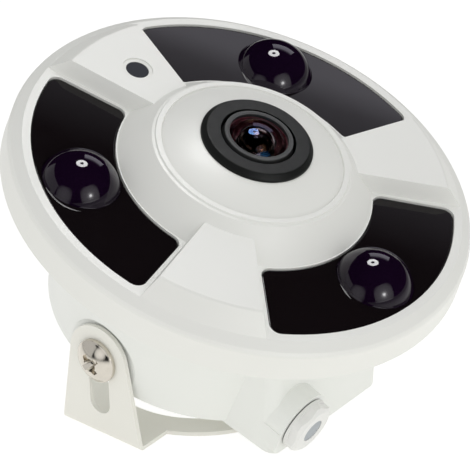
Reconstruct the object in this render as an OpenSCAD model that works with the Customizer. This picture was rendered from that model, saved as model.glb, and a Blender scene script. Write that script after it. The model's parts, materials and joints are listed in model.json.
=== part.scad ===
/* [Cover] */
// radius of the round front cover at its rim, which sets the product's size
cover_r = 75; // [60:0.5:90]
// height of the cover's side wall, from its lower edge to the rim
skirt_h = 10.1; // [9.4:0.1:12]
// wall thickness of the moulded cover
cover_wall = 2.2; // [1.8:0.1:2.6]
// level of the flat ledge round each window above the rim
ledge_z = 2.57; // [2.4:0.05:3.4]
// height of the three raised pads above the ledge
pad_rise = 5.43; // [4.6:0.1:6.4]
// width of the sloping band between a pad's flat top and the rim
pad_band_w = 9.8; // [8.2:0.2:11.6]
// half of the angle that a pad covers at its foot
pad_half_deg = 16; // [15:0.25:16.5]
// lean of a pad's side walls away from upright
pad_lean_deg = 20; // [10:1:24]
// foot of the cone that carries the lens, as a share of the cover's radius
hub_foot_share = 0.548; // [0.52:0.004:0.56]
// top of that cone, as a share of the cover's radius
hub_top_share = 0.4293; // [0.41:0.004:0.44]
// height of the cone above the ledge
hub_rise = 8.33; // [7:0.1:9.6]

/* [Windows] */
// width of the cover's border outside a window
window_border_w = 6.6; // [6.2:0.1:7.8]
// half of the angle that a window covers
window_half_deg = 42.8; // [40:0.2:43]
// corner radius of the window opening
window_corner_r = 3.5; // [2.5:0.25:4]
// depth of the window's face below the ledge
window_sink = 0.6; // [0.4:0.1:0.8]
// width of the flange that holds the window from behind
window_lip = 1.2; // [0.8:0.1:1.4]
// place of the infrared lens domes across the window, as a share of its width
dome_place_share = 0.487; // [0.46:0.005:0.52]
// radius of a dome where it leaves the window, as a share of the window's width
dome_share = 0.4572; // [0.4:0.005:0.46]
// height of a dome as a share of that radius
dome_h_share = 0.667; // [0.55:0.01:0.8]
// wall thickness of a dome
dome_wall = 1.8; // [1.2:0.1:2.4]

/* [Lens] */
// outer radius of the dark ring round the lens, as a share of the cover's radius
ring_share = 0.24; // [0.23:0.002:0.25]
// width of the dark ring, from its edge to the barrel's opening
ring_w = 5.5; // [4.8:0.1:6]
// height of the ring above its seat
ring_h = 2.35; // [1.9:0.05:3]
// gap between the ring and the lens barrel's head
barrel_gap = 1; // [0.6:0.1:1.4]
// width of the barrel's edge round the front glass
barrel_edge_w = 2.25; // [1.6:0.05:2.6]

/* [Rear housing] */
// outer radius of the rear housing, as a share of the cover's radius
housing_share = 0.6533; // [0.64:0.002:0.66]
// depth of the rear housing's base below the rim
housing_depth = 60; // [52:0.5:72]
// wall thickness of the rear housing
housing_wall = 2.5; // [2.2:0.1:3]
// half of the cable outlet block's width, as a share of the housing's radius
outlet_share = 0.5714; // [0.54:0.005:0.6]
// distance by which the outlet block's low edge stands out of the housing
outlet_out = 9.2; // [8:0.2:10.6]
// lean of the outlet block's end face away from upright
outlet_lean_deg = 18; // [14:1:20]
// radius of the round sleeve round the cable outlet
sleeve_r = 10.4; // [9.6:0.1:11]
// length of the blanking plug's head
plug_head_len = 4.4; // [3.6:0.1:5]

/* [Bracket] */
// tilt of the head at rest, towards the cable outlet
head_tilt = 21.5; // [0:0.5:21.5]
// height of the outlet block's low edge above the mounting surface
low_gap = 1.02; // [0.8:0.02:5]
// thickness of the folded sheet
sheet_t = 1.4; // [1.2:0.1:1.6]
// gap between an arm's outer face and the housing's widest radius
arm_out = 0.6; // [0.6:0.1:2]
// radius of the tilt screw's head
screw_head_r = 7.7; // [7:0.1:8.6]
// width of an arm's rim round the screw's head
arm_rim_w = 3.8; // [3:0.1:4.6]
// half of an arm's width at its foot
arm_foot_half = 16.1; // [14:0.1:18]
// distance of the base ring's edge inside the arms' outer faces
base_in = 9.6; // [8.6:0.2:11]
// width of the base ring
base_w = 8; // [7:0.2:9.4]

/* [Hidden] */

thirds = [0, 120, 240];
quarter = 90;
big = 200;
half_share = 0.5;
curve_fn = 96;
fine_fn = 48;
hex_fn = 6;
// gap between fixed pieces that are fitted by hand
fit_gap = 0.2;
// gap between faces that slide past each other
run_gap = 0.1;
// gap round a turning shaft
shaft_gap = 0.05;
// width by which a round corner stands proud of the straight side beside it
corner_proud = 0.02;
// depth by which shapes of one piece run into each other
bite = 0.5;
// length by which a cutting shape runs past the faces it cuts
past = 1;

// front cover
hub_foot_r = cover_r * hub_foot_share;
hub_top_r = cover_r * hub_top_share;
hub_top_z = ledge_z + hub_rise;
pad_top_z = ledge_z + pad_rise;
pad_outer_r = cover_r - pad_band_w;
ring_r = cover_r * ring_share;
rim_r = 0.9;
rim_step_share = 0.7;
band_slope = 0.654;
cone_deg = atan2(hub_top_z - ledge_z, hub_foot_r - hub_top_r);
rib_w = 2;
rib_set = 0.9;
rib_out_r = hub_top_r - rib_set;
rib_in_r = rib_out_r - rib_w;
rib_edge = 0.2;
rib_h = 0.55;
dome_foot_rise = 0.4;
dome_foot_z = hub_top_z + dome_foot_rise;
hub_seat_rise = 4.7;
hub_seat_z = hub_top_z + hub_seat_rise;
ring_seat_w = 2.5;
hub_seat_wall_r = ring_r - ring_seat_w;
skin_top_z = hub_seat_z + run_gap;
skin_z = (ring_r * ring_r + skin_top_z * skin_top_z - rib_in_r * rib_in_r - dome_foot_z * dome_foot_z)
    / (2 * (skin_top_z - dome_foot_z));
skin_r = sqrt(rib_in_r * rib_in_r + (dome_foot_z - skin_z) * (dome_foot_z - skin_z));
skirt_flare = 0.4;
skirt_edge = 0.5;
ledge_t = 2.37;
under_z = ledge_z - ledge_t;
upper_wall = 4.4;
upper_in_r = cover_r - upper_wall;
lap_wall = 2.0;
lap_r = cover_r - lap_wall;
lap_depth = 4.7;
lap_z = -skirt_h + lap_depth;
root_edge = 1;
cone_in_r = hub_foot_r - cover_wall / sin(cone_deg) + (ledge_z - under_z) / tan(cone_deg);
cone_in_step = 1.1;
cone_in_top_r = hub_top_r - cone_in_step;
cone_in_top_z = under_z + (cone_in_r - cone_in_top_r) * tan(cone_deg);
dome_in_step = 1.5;
pad_end_slope = 0.9375;
pad_root_step = 0.8;
pad_root_r = hub_top_r + pad_root_step;
pad_edge = 0.35;
pad_low_z = 0.5;
pad_wall_step = 0.1;
pad_wall = cover_wall - pad_wall_step;
pad_in_low_z = -1;
pad_in_root_step = 5.6;
pad_in_root_r = hub_foot_r - pad_in_root_step;
pad_in_end_step = 1.4;
pad_in_end_r = pad_outer_r - pad_in_end_step;
cover_boss_set = 14;
cover_boss_ring_r = cover_r - cover_boss_set;
cover_boss_r = 4;
cover_bore_r = 1.3;
cover_bore_depth = 9;
pads_at = [60, 180, 300];
cell_ring_share = 0.648;
cell_ring_r = cover_r * cell_ring_share;
cell_at = 180;
cell_hole_r = 3.75;
cell_recess_r = 5;
cell_recess = 0.5;

// rear housing
housing_r = cover_r * housing_share;
flange_sink = 0.3;
flange_z = -skirt_h + flange_sink;
flange_t = 3;
flange_top_z = flange_z + flange_t;
flange_r = lap_r - fit_gap;
gasket_set = 0.3;
cup_r = housing_r - housing_wall;
floor_z = -housing_depth;
inner_floor_z = floor_z + housing_wall;
pivot_above_base = 6.5;
pivot_drop = housing_depth - pivot_above_base;
pivot_z = -pivot_drop;
arm_face_y = housing_r + arm_out;
arm_top_r = screw_head_r + arm_rim_w;
arm_room = 1.0;
pocket_room = 1.9;
pocket_r = arm_top_r + pocket_room;
pocket_y = arm_face_y - sheet_t - arm_room;
pad_disc_out = 2.1;
pad_disc_r = pocket_r + pad_disc_out;
pad_disc_y = pocket_y - housing_wall;
boss_r = 7.5;
boss_len = 9;
boss_y = pocket_y - boss_len;
boss_end_t = 0.8;
boss_bore_y = boss_y + boss_end_t;
tilt_shank_r = 2.9;
foot_edge = 0.8;

// cable outlet
outlet_half_w = housing_r * outlet_share;
outlet_reach = housing_r + outlet_out;
outlet_spread = 2;
outlet_root_half = outlet_half_w + outlet_spread;
outlet_root = 24;
outlet_corner_r = 4.5;
outlet_in_r = 2.5;
outlet_hidden_share = 0.9;
outlet_hidden = housing_r * outlet_hidden_share;
outlet_tail = 6;
outlet_z = floor_z + sleeve_r;
outlet_side = outlet_half_w - sleeve_r - fit_gap;
sleeve_in = 5;
sleeve_in_x = housing_r - sleeve_in;
sleeve_corner_r = 4.5;
outlet_bore_in = 13;
outlet_bore_x = housing_r - outlet_bore_in;
plug_set = 1.3;
plug_r = sleeve_r - plug_set;
plug_wall = 1.5;
outlet_bore_r = plug_r - plug_wall;

// posts inside the rear housing
sensor_board_z = -27;
main_board_set = 5;
main_board_r = cup_r - main_board_set;
post_r = 3.6;
post_set = 5.5;
post_ring_r = main_board_r - post_set;
posts_at = [0, 120, 240];
post_turn = 60;
post_share = 0.574;
main_z = inner_floor_z + (sensor_board_z - inner_floor_z) * post_share;
post_bore_r = 1.3;
post_bore_depth = 9;
cell_post_w = 9;
cell_post_l = 7;
cell_post_z = -1.2;
screw_head_recess = 1.7;
screw_head_hole_r = 3.2;
screw_hole_r = 1.6;

// small screws
small_head_r = 2.8;
small_head_h = 1.5;
small_head_draw = 0.6;
small_shank_r = 1.25;
small_slot_w = 0.6;
small_slot_depth = 0.7;
board_shank_len = 7;
cover_shank_len = 8.5;

// windows and infrared lamps
window_set = 0.4;
window_in_r = hub_foot_r + window_set;
window_out_r = cover_r - window_border_w;
window_w = window_out_r - window_in_r;
window_face_z = ledge_z - window_sink;
window_t = 3.3;
window_low_z = window_face_z - window_t;
window_lip_top_z = under_z - run_gap;
dome_ring_r = window_in_r + window_w * dome_place_share;
dome_base_r = window_w * dome_share;
dome_h = dome_base_r * dome_h_share;
dome_hole_r = dome_base_r + fit_gap;
dome_sphere_r = (dome_base_r * dome_base_r + dome_h * dome_h) / (2 * dome_h);
dome_sphere_z = window_face_z + dome_h - dome_sphere_r;
dome_lip_share = 0.122;
dome_flange_r = dome_base_r * (1 + dome_lip_share);
dome_flange_top_z = window_low_z - run_gap;
dome_flange_t = 1.3;
ir_post_r = 2.5;
ir_post_h = 0.5;
ir_posts_at = [-26, 26];
ir_board_low_z = flange_top_z + ir_post_h;
board_t = 1.6;
ir_board_top_z = ir_board_low_z + board_t;
ir_board_set = 2;
ir_board_in_r = window_in_r + ir_board_set;
ir_board_out_r = window_out_r - fit_gap;
ir_board_half_deg = 34;
ir_board_corner_r = 2;
ir_post_set = 8.2;
ir_post_ring_r = ir_board_out_r - ir_post_set;
led_base_w = 8;
led_base_h = 1.6;
led_ring_r = 3.9;
led_ring_h = 1;
led_lens_r = 3.2;
led_sink = 1;

// light sensor
cell_window_r = 3.65;
cell_window_sink = 0.1;
cell_window_top_z = pad_top_z - cell_recess - cell_window_sink;
cell_flange_r = 4.8;
cell_flange_t = 1;
cell_stem_r = 2.2;
cell_stem_z = 1.9;
cell_body_h = 2.6;
cell_body_w = 6;
cell_body_l = 5;
cell_shift = 0.5;
cell_pin_w = 1;

// lens
ring_hole_r = ring_r - ring_w;
ring_face_z = hub_seat_z + ring_h;
ring_bevel = 1.5;
ring_sleeve_r = hub_seat_wall_r - fit_gap;
ring_sleeve_len = 5.1;
ring_sleeve_z = hub_seat_z - ring_sleeve_len;
ring_groove = 0.4;
barrel_r = ring_hole_r - barrel_gap;
barrel_rise = 0.45;
barrel_top_z = ring_face_z + barrel_rise;
thread_set = 1.3;
thread_r = barrel_r - thread_set;
barrel_step_z = 3;
barrel_low_z = -13;
barrel_bevel = 0.5;
barrel_lip = 0.6;
barrel_step = 1;
glass_r = barrel_r - barrel_edge_w;
barrel_wall = 3;
barrel_low_bore_r = thread_r - barrel_wall;
barrel_neck = 0.8;
barrel_bore_r = barrel_low_bore_r - barrel_neck;
glass_sink = 1.4;
glass_seat_z = barrel_top_z - glass_sink;
glass_t = 2.2;
glass_rise_share = 0.45;
glass_rise = glass_r * glass_rise_share;
glass_sphere_r = (glass_r * glass_r + glass_rise * glass_rise) / (2 * glass_rise);
glass_hollow_share = 0.778;
glass_hollow_r = glass_r * glass_hollow_share;
glass_hollow_h = 4;
rear_seat_z = 1.5;
rear_glass_t = 4;
holder_bore_gap = 0.05;
holder_wall = 2.2;
holder_top_z = -2;
holder_foot_w = 2.8;
holder_base_w = 2 * (thread_r + holder_foot_w);
holder_base_h = 5;
sensor_board_r = 23;
sensor_board_half = 20.5;
sensor_top_z = sensor_board_z + board_t;
sensor_w_share = 0.7;
sensor_w = holder_base_w * sensor_w_share - 2 * holder_wall;
sensor_h = 1.8;
sensor_ledge_set = 1.4;
sensor_ledge_w = sensor_w - 2 * sensor_ledge_set;
sensor_ledge_h = 0.6;
main_top_z = main_z + board_t;
spacer_r = 2.6;
spacer_set = 3.5;
spacer_ring_r = sensor_board_r - spacer_set;
spacer_len = sensor_board_z - main_top_z;
jack_room = 1.5;
jack_x = sensor_board_half + jack_room;
jack_set = 6.5;
jack_l = main_board_r - jack_set - jack_x;
jack_w = 16;
jack_share = 0.95;
jack_h = spacer_len * jack_share;
chip_w = 12;
chip_h = 1.4;
chip_at = 150;
chip_set = 13.5;
coil_r = 4.5;
coil_share = 0.6;
coil_h = spacer_len * coil_share;
coil_at = 240;
coil_set = 13.7;

// blanking plug
seal_t = 0.4;
seal_in_r = outlet_bore_r + fit_gap;
seal_out_r = plug_r - fit_gap;
plug_stem_r = outlet_bore_r - shaft_gap;
plug_stem_len = 9;
plug_stem_wall = 1.2;
plug_hollow_in = 1.2;
plug_collar = 1.1;
plug_corner = 0.5;
plug_front_share = 0.82;
plug_hex_turn = 57;
vent_share = 0.44;
vent_r = plug_r * vent_share;
vent_t = 1;
vent_sink = 0.25;
vent_fit = 0.05;

// bracket
arm_in_y = arm_face_y - sheet_t;
pivot_h = outlet_reach * sin(head_tilt) + pivot_above_base * cos(head_tilt) + low_gap;
bend_in_r = 0.5;
bend_out_r = bend_in_r + sheet_t;
arm_top_dz = 0.4;
shoulder_r = 4.0;
slot_half = shoulder_r + run_gap;
slot_foot = 12.6;
slot_travel = pivot_h - slot_foot;
base_r = arm_face_y - base_in;
base_hole_r = base_r - base_w;
mount_ring_r = base_r - base_w / 2;
mount_hole_r = 2.25;
mount_holes_at = [20, 160, 200, 340];
arm_lean = atan2(arm_foot_half - arm_top_r, pivot_h + arm_top_dz);

// tilt screw
head_rim_h = 1.3;
head_dome_share = 0.42;
head_edge = 0.35;
head_top_r = screw_head_r - head_edge;
head_dome_h = head_top_r * head_dome_share;
head_sphere_r = (head_top_r * head_top_r + head_dome_h * head_dome_h) / (2 * head_dome_h);
head_h = head_rim_h + head_dome_h;
cross_share = 0.6;
cross_len = 2 * screw_head_r * cross_share;
cross_w = 1.9;
cross_depth = 3;
cross_turn = 30;
cross_core_r = 2.1;
screw_tip_gap = 0.6;
screw_tip_y = boss_bore_y + screw_tip_gap;
washer_set = 0.3;
washer_r = screw_head_r - washer_set;
washer_t = 0.8;
washer_hole_r = shoulder_r + run_gap;

// places a piece drawn in the head's own frame, whose zero is the centre of the cover's rim
module on_head() {
    translate([0, 0, pivot_h])
        rotate([0, head_tilt, 0])
            translate([0, 0, pivot_drop])
                children();
}

// a straight-sided sector, with its sides moved inwards by inset
module wedge(half, inset) {
    translate([inset / sin(half), 0])
        polygon([[0, 0], [big * cos(half), -big * sin(half)], [big, 0],
            [big * cos(half), big * sin(half)]]);
}

// plan of a ring sector with round corners, drawn inset all round
module sector_plan(r_in, r_out, half, inset, corner) {
    low_r = r_in + inset;
    top_r = r_out - inset;
    intersection() {
        difference() {
            circle(top_r - corner, $fn = curve_fn);
            circle(low_r + corner, $fn = curve_fn);
        }
        wedge(half, inset);
    }
    intersection() {
        difference() {
            circle(top_r, $fn = curve_fn);
            circle(low_r, $fn = curve_fn);
        }
        wedge(half, inset + corner);
    }
    for (side = [-1, 1])
        for (ring = [low_r + corner, top_r - corner])
            rotate(side * (half - asin((corner + inset) / ring)))
                translate([ring, 0])
                    circle(corner + corner_proud, $fn = fine_fn);
}

// a round bar along the head's tilt axis on one side, from y_from to y_to
module side_bar(side, y_from, y_to, radius) {
    translate([0, side * y_from, pivot_z])
        rotate([-side * quarter, 0, 0])
            cylinder(r = radius, h = y_to - y_from, $fn = curve_fn);
}

// profile of the cover without its pads
module cover_profile() {
    intersection() {
        translate([0, skin_z])
            circle(skin_r, $fn = curve_fn);
        translate([0, -skirt_h + skirt_edge])
            square([rib_in_r, hub_seat_z + skirt_h - skirt_edge]);
    }
    polygon([
        [0, -skirt_h],
        [cover_r + skirt_flare - skirt_edge, -skirt_h],
        [cover_r + skirt_flare, -skirt_h + skirt_edge],
        [cover_r, -rim_r],
        [cover_r - rim_r + rim_r * rim_step_share, -rim_r + rim_r * rim_step_share],
        [cover_r - rim_r, rim_r * band_slope],
        [cover_r - ledge_z / band_slope, ledge_z],
        [hub_foot_r, ledge_z],
        [hub_top_r, hub_top_z],
        [rib_out_r + rib_edge / 2, hub_top_z + rib_edge],
        [rib_out_r - rib_edge, dome_foot_z + rib_h - rib_edge / 2],
        [rib_in_r + rib_edge, dome_foot_z + rib_h],
        [rib_in_r - rib_edge / 4, dome_foot_z],
        [0, dome_foot_z]]);
}

// the hollow inside the cover, without the hollows of its pads
module hollow_profile() {
    intersection() {
        translate([0, skin_z])
            circle(skin_r - cover_wall, $fn = curve_fn);
        translate([0, lap_z])
            square([cone_in_top_r - dome_in_step, hub_seat_z - lap_z]);
    }
    polygon([
        [0, -skirt_h - past],
        [lap_r, -skirt_h - past],
        [lap_r, lap_z],
        [upper_in_r, lap_z],
        [upper_in_r, under_z - root_edge],
        [upper_in_r - root_edge, under_z],
        [cone_in_r, under_z],
        [cone_in_top_r, cone_in_top_z],
        [0, cone_in_top_z]]);
}

// the space between the two leaning side walls of a pad
module pad_span(inset) {
    intersection_for (side = [-1, 1])
        rotate([0, 0, side * pad_half_deg])
            translate([0, -side * inset, ledge_z])
                rotate([side * pad_lean_deg, 0, 0])
                    translate([0, side > 0 ? -big : 0, -big * half_share])
                        cube([big, big, big]);
}

module pad_outer(at) {
    rotate([0, 0, at])
        intersection() {
            rotate_extrude($fn = curve_fn)
                polygon([
                    [pad_root_r, pad_low_z],
                    [pad_outer_r + (pad_top_z - pad_low_z) / pad_end_slope, pad_low_z],
                    [pad_outer_r + pad_edge, pad_top_z - pad_edge * pad_end_slope],
                    [pad_outer_r - pad_edge, pad_top_z],
                    [pad_root_r, pad_top_z]]);
            pad_span(0);
        }
}

module pad_inner(at) {
    in_top = pad_top_z - pad_wall;
    rotate([0, 0, at])
        intersection() {
            rotate_extrude($fn = curve_fn)
                polygon([
                    [pad_in_root_r, pad_in_low_z],
                    [pad_in_end_r + (in_top - pad_in_low_z) * half_share, pad_in_low_z],
                    [pad_in_end_r, in_top],
                    [pad_in_root_r, in_top]]);
            pad_span(pad_wall);
        }
}

module front_cover() {
    color("#e6e6e4") on_head() difference() {
        union() {
            difference() {
                union() {
                    rotate_extrude($fn = curve_fn) cover_profile();
                    for (at = pads_at) pad_outer(at);
                }
                rotate_extrude($fn = curve_fn) hollow_profile();
                for (at = pads_at) pad_inner(at);
            }
            for (at = pads_at)
                rotate([0, 0, at])
                    translate([cover_boss_ring_r, 0, flange_top_z])
                        cylinder(r = cover_boss_r, h = pad_top_z - pad_wall + bite - flange_top_z,
                            $fn = fine_fn);
        }
        // window openings
        for (at = thirds)
            rotate([0, 0, at])
                translate([0, 0, under_z - past])
                    linear_extrude(ledge_z - under_z + 2 * past)
                        sector_plan(window_in_r, window_out_r, window_half_deg, 0, window_corner_r);
        // lens opening
        translate([0, 0, flange_top_z])
            cylinder(r = hub_seat_wall_r, h = big, $fn = curve_fn);
        // screw bores
        for (at = pads_at)
            rotate([0, 0, at])
                translate([cover_boss_ring_r, 0, flange_top_z - past])
                    cylinder(r = cover_bore_r, h = cover_bore_depth + past, $fn = fine_fn);
        // light sensor opening and the shallow recess round it
        rotate([0, 0, cell_at])
            translate([cell_ring_r, 0, pad_in_low_z]) {
                cylinder(r = cell_hole_r, h = big, $fn = fine_fn);
                translate([0, 0, pad_top_z - cell_recess - pad_in_low_z])
                    cylinder(r = cell_recess_r, h = big, $fn = fine_fn);
            }
    }
}

// plan of the outlet block, square to its leaning end face
module outlet_plan(inset) {
    r = inset > 0 ? outlet_in_r : outlet_corner_r;
    end_x = -inset;
    half = outlet_half_w - inset;
    root = outlet_root_half - inset;
    slope_deg = atan2(outlet_root_half - outlet_half_w, outlet_root);
    side_r = r - corner_proud;
    for (side = [-1, 1])
        translate([end_x - r, side * (half - r)])
            circle(r, $fn = fine_fn);
    polygon([
        [end_x - corner_proud, -(half - r)],
        [end_x - corner_proud, half - r],
        [end_x - r + side_r * sin(slope_deg), half - r + side_r * cos(slope_deg)],
        [-outlet_root, root],
        [-outlet_hidden, root - outlet_tail],
        [-outlet_hidden, -root + outlet_tail],
        [-outlet_root, -root],
        [end_x - r + side_r * sin(slope_deg), -(half - r) - side_r * cos(slope_deg)]]);
}

// the outlet block between two levels
module outlet_block(inset, low, top) {
    intersection() {
        translate([outlet_reach, 0, floor_z])
            rotate([0, -outlet_lean_deg, 0])
                translate([0, 0, -big * half_share])
                    linear_extrude(big)
                        outlet_plan(inset);
        translate([0, -big * half_share, low])
            cube([big, big, top - low]);
    }
}

// the cable outlet's round sleeve, from x_from outwards
module outlet_bar(x_from, x_to, radius) {
    translate([x_from, -outlet_side, outlet_z])
        rotate([0, quarter, 0])
            cylinder(r = radius, h = x_to - x_from, $fn = curve_fn);
}

// fills the corner between the sleeve and the block's low outer edge
module outlet_corner() {
    low_y = -outlet_half_w + sleeve_corner_r;
    low_z = floor_z + sleeve_corner_r;
    translate([sleeve_in_x, 0, 0])
        rotate([quarter, 0, quarter])
            linear_extrude(outlet_reach - sleeve_in_x) {
                translate([low_y, low_z])
                    circle(sleeve_corner_r, $fn = fine_fn);
                polygon([
                    [-outlet_side, floor_z + corner_proud],
                    [-outlet_side, outlet_z],
                    [-outlet_half_w + corner_proud, outlet_z],
                    [-outlet_half_w + corner_proud, low_z],
                    [low_y, low_z],
                    [low_y, floor_z + corner_proud]]);
            }
}

module housing_outer() {
    rotate_extrude($fn = curve_fn)
        polygon([
            [0, floor_z],
            [housing_r - foot_edge, floor_z],
            [housing_r, floor_z + foot_edge],
            [housing_r, flange_z + past],
            [0, flange_z + past]]);
    translate([0, 0, flange_z])
        cylinder(r = flange_r, h = flange_t, $fn = curve_fn);
    outlet_block(0, floor_z, flange_z + past);
    intersection() {
        union() {
            outlet_bar(sleeve_in_x, outlet_reach, sleeve_r);
            outlet_corner();
        }
        translate([0, -big * half_share, floor_z])
            cube([big, big, big]);
    }
}

module housing_hollow() {
    difference() {
        union() {
            translate([0, 0, inner_floor_z])
                cylinder(r = cup_r, h = big, $fn = curve_fn);
            outlet_block(housing_wall, inner_floor_z, flange_z - past);
        }
        outlet_bar(sleeve_in_x, big, sleeve_r);
        for (side = [-1, 1]) {
            side_bar(side, pad_disc_y, big, pad_disc_r);
            side_bar(side, boss_y, big, boss_r);
        }
        for (at = posts_at)
            rotate([0, 0, at + post_turn])
                translate([post_ring_r, 0, floor_z])
                    cylinder(r = post_r, h = main_z - floor_z, $fn = fine_fn);
    }
}

module rear_housing() {
    color("#dfe0dd") on_head() difference() {
        union() {
            difference() {
                housing_outer();
                housing_hollow();
                // pockets behind the bracket's arms
                for (side = [-1, 1]) {
                    side_bar(side, pocket_y, big, pocket_r);
                    translate([-pocket_r, side > 0 ? pocket_y : -big, floor_z - past])
                        cube([2 * pocket_r, big - pocket_y, pivot_z - floor_z + past]);
                }
            }
            for (at = thirds)
                for (turn = ir_posts_at)
                    rotate([0, 0, at + turn])
                        translate([ir_post_ring_r, 0, flange_z + past])
                            cylinder(r = ir_post_r, h = flange_t - past + ir_post_h, $fn = fine_fn);
            rotate([0, 0, cell_at])
                translate([cup_r + fit_gap, -cell_post_w / 2, flange_z + past])
                    cube([cell_post_l, cell_post_w, cell_post_z - flange_z - past]);
        }
        for (side = [-1, 1])
            side_bar(side, boss_bore_y, big, tilt_shank_r + shaft_gap);
        outlet_bar(outlet_bore_x, big, outlet_bore_r);
        for (at = posts_at)
            rotate([0, 0, at + post_turn])
                translate([post_ring_r, 0, main_z - post_bore_depth])
                    cylinder(r = post_bore_r, h = big, $fn = fine_fn);
        for (at = pads_at)
            rotate([0, 0, at])
                translate([cover_boss_ring_r, 0, flange_z - past]) {
                    cylinder(r = screw_hole_r, h = big, $fn = fine_fn);
                    cylinder(r = screw_head_hole_r, h = screw_head_recess + past, $fn = fine_fn);
                }
    }
}

module cover_gasket() {
    color("#2a2c2d") on_head()
        translate([0, 0, flange_top_z])
            rotate_extrude($fn = curve_fn)
                translate([upper_in_r + gasket_set, 0])
                    square([flange_r - upper_in_r - 2 * gasket_set, lap_z - flange_top_z]);
}

module window(at) {
    color("#141214") on_head() rotate([0, 0, at])
        difference() {
            union() {
                translate([0, 0, window_low_z])
                    linear_extrude(window_face_z - window_low_z)
                        sector_plan(window_in_r, window_out_r, window_half_deg, fit_gap, window_corner_r);
                translate([0, 0, window_low_z])
                    linear_extrude(window_lip_top_z - window_low_z)
                        sector_plan(window_in_r, window_out_r, window_half_deg, -window_lip,
                            window_corner_r);
            }
            translate([dome_ring_r, 0, window_low_z - past])
                cylinder(r = dome_hole_r, h = window_t + 2 * past, $fn = curve_fn);
        }
}

module window_1() { window(thirds[0]); }
module window_2() { window(thirds[1]); }
module window_3() { window(thirds[2]); }

// a hollow infrared lens dome with a flange and a skirt that stands on its board
module ir_lens(at) {
    color("#1d1623") on_head() rotate([0, 0, at])
        translate([dome_ring_r, 0, 0])
            rotate_extrude($fn = curve_fn)
                difference() {
                    union() {
                        intersection() {
                            translate([0, dome_sphere_z])
                                circle(dome_sphere_r, $fn = curve_fn);
                            translate([0, window_face_z])
                                square([dome_base_r, dome_h + past]);
                        }
                        translate([0, ir_board_top_z])
                            square([dome_base_r, window_face_z - ir_board_top_z]);
                        translate([0, dome_flange_top_z - dome_flange_t])
                            square([dome_flange_r, dome_flange_t]);
                    }
                    intersection() {
                        translate([0, dome_sphere_z])
                            circle(dome_sphere_r - dome_wall, $fn = curve_fn);
                        translate([-past, window_face_z - past])
                            square([dome_base_r, dome_h + 2 * past]);
                    }
                    translate([-past, ir_board_top_z - past])
                        square([dome_base_r - dome_wall + past, window_face_z - ir_board_top_z + bite]);
                }
}

module ir_lens_1() { ir_lens(thirds[0]); }
module ir_lens_2() { ir_lens(thirds[1]); }
module ir_lens_3() { ir_lens(thirds[2]); }

module ir_board(at) {
    color("#1f4a34") on_head() rotate([0, 0, at])
        translate([0, 0, ir_board_low_z])
            linear_extrude(board_t)
                sector_plan(ir_board_in_r, ir_board_out_r, ir_board_half_deg, 0, ir_board_corner_r);
}

module ir_board_1() { ir_board(thirds[0]); }
module ir_board_2() { ir_board(thirds[1]); }
module ir_board_3() { ir_board(thirds[2]); }

// a lamp: square base, round wall and a small clear bead
module ir_led(at) {
    color("#e4e0d2") on_head() rotate([0, 0, at])
        translate([dome_ring_r, 0, ir_board_top_z]) {
            translate([-led_base_w / 2, -led_base_w / 2, 0])
                cube([led_base_w, led_base_w, led_base_h]);
            difference() {
                translate([0, 0, led_base_h / 2])
                    cylinder(r = led_ring_r, h = led_base_h / 2 + led_ring_h, $fn = fine_fn);
                translate([0, 0, led_base_h])
                    cylinder(r = led_lens_r, h = led_ring_h + past, $fn = fine_fn);
            }
            intersection() {
                translate([0, 0, led_base_h - led_sink])
                    sphere(led_lens_r - fit_gap, $fn = fine_fn);
                translate([-led_ring_r, -led_ring_r, led_base_h / 2])
                    cube([2 * led_ring_r, 2 * led_ring_r, led_ring_r]);
            }
        }
}

module ir_led_1() { ir_led(thirds[0]); }
module ir_led_2() { ir_led(thirds[1]); }
module ir_led_3() { ir_led(thirds[2]); }

module sensor_window() {
    in_top = pad_top_z - pad_wall;
    color("#171a1c") on_head() rotate([0, 0, cell_at])
        translate([cell_ring_r, 0, 0])
            rotate_extrude($fn = fine_fn)
                polygon([
                    [0, cell_stem_z],
                    [cell_stem_r, cell_stem_z],
                    [cell_stem_r, in_top - run_gap - cell_flange_t],
                    [cell_flange_r, in_top - run_gap - cell_flange_t],
                    [cell_flange_r, in_top - run_gap],
                    [cell_window_r, in_top - run_gap],
                    [cell_window_r, cell_window_top_z],
                    [0, cell_window_top_z]]);
}

// the light cell on its post, with two pin blocks beside it
module light_sensor() {
    color("#3a3330") on_head() rotate([0, 0, cell_at])
        translate([cell_ring_r - cell_body_l / 2 + cell_shift, -cell_body_w / 2, cell_post_z]) {
            cube([cell_body_l, cell_body_w, cell_body_h]);
            translate([0, -cell_pin_w, 0])
                cube([cell_body_l, cell_body_w + 2 * cell_pin_w, cell_body_h / 2]);
        }
}

module lens_ring() {
    color("#33373a") on_head()
        rotate_extrude($fn = curve_fn)
            polygon([
                [ring_hole_r, ring_sleeve_z],
                [ring_sleeve_r, ring_sleeve_z],
                [ring_sleeve_r, hub_seat_z],
                [ring_r, hub_seat_z],
                [ring_r, ring_face_z - ring_bevel],
                [ring_r - ring_bevel, ring_face_z],
                [ring_hole_r + ring_groove, ring_face_z],
                [ring_hole_r, ring_face_z - ring_groove]]);
}

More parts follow.
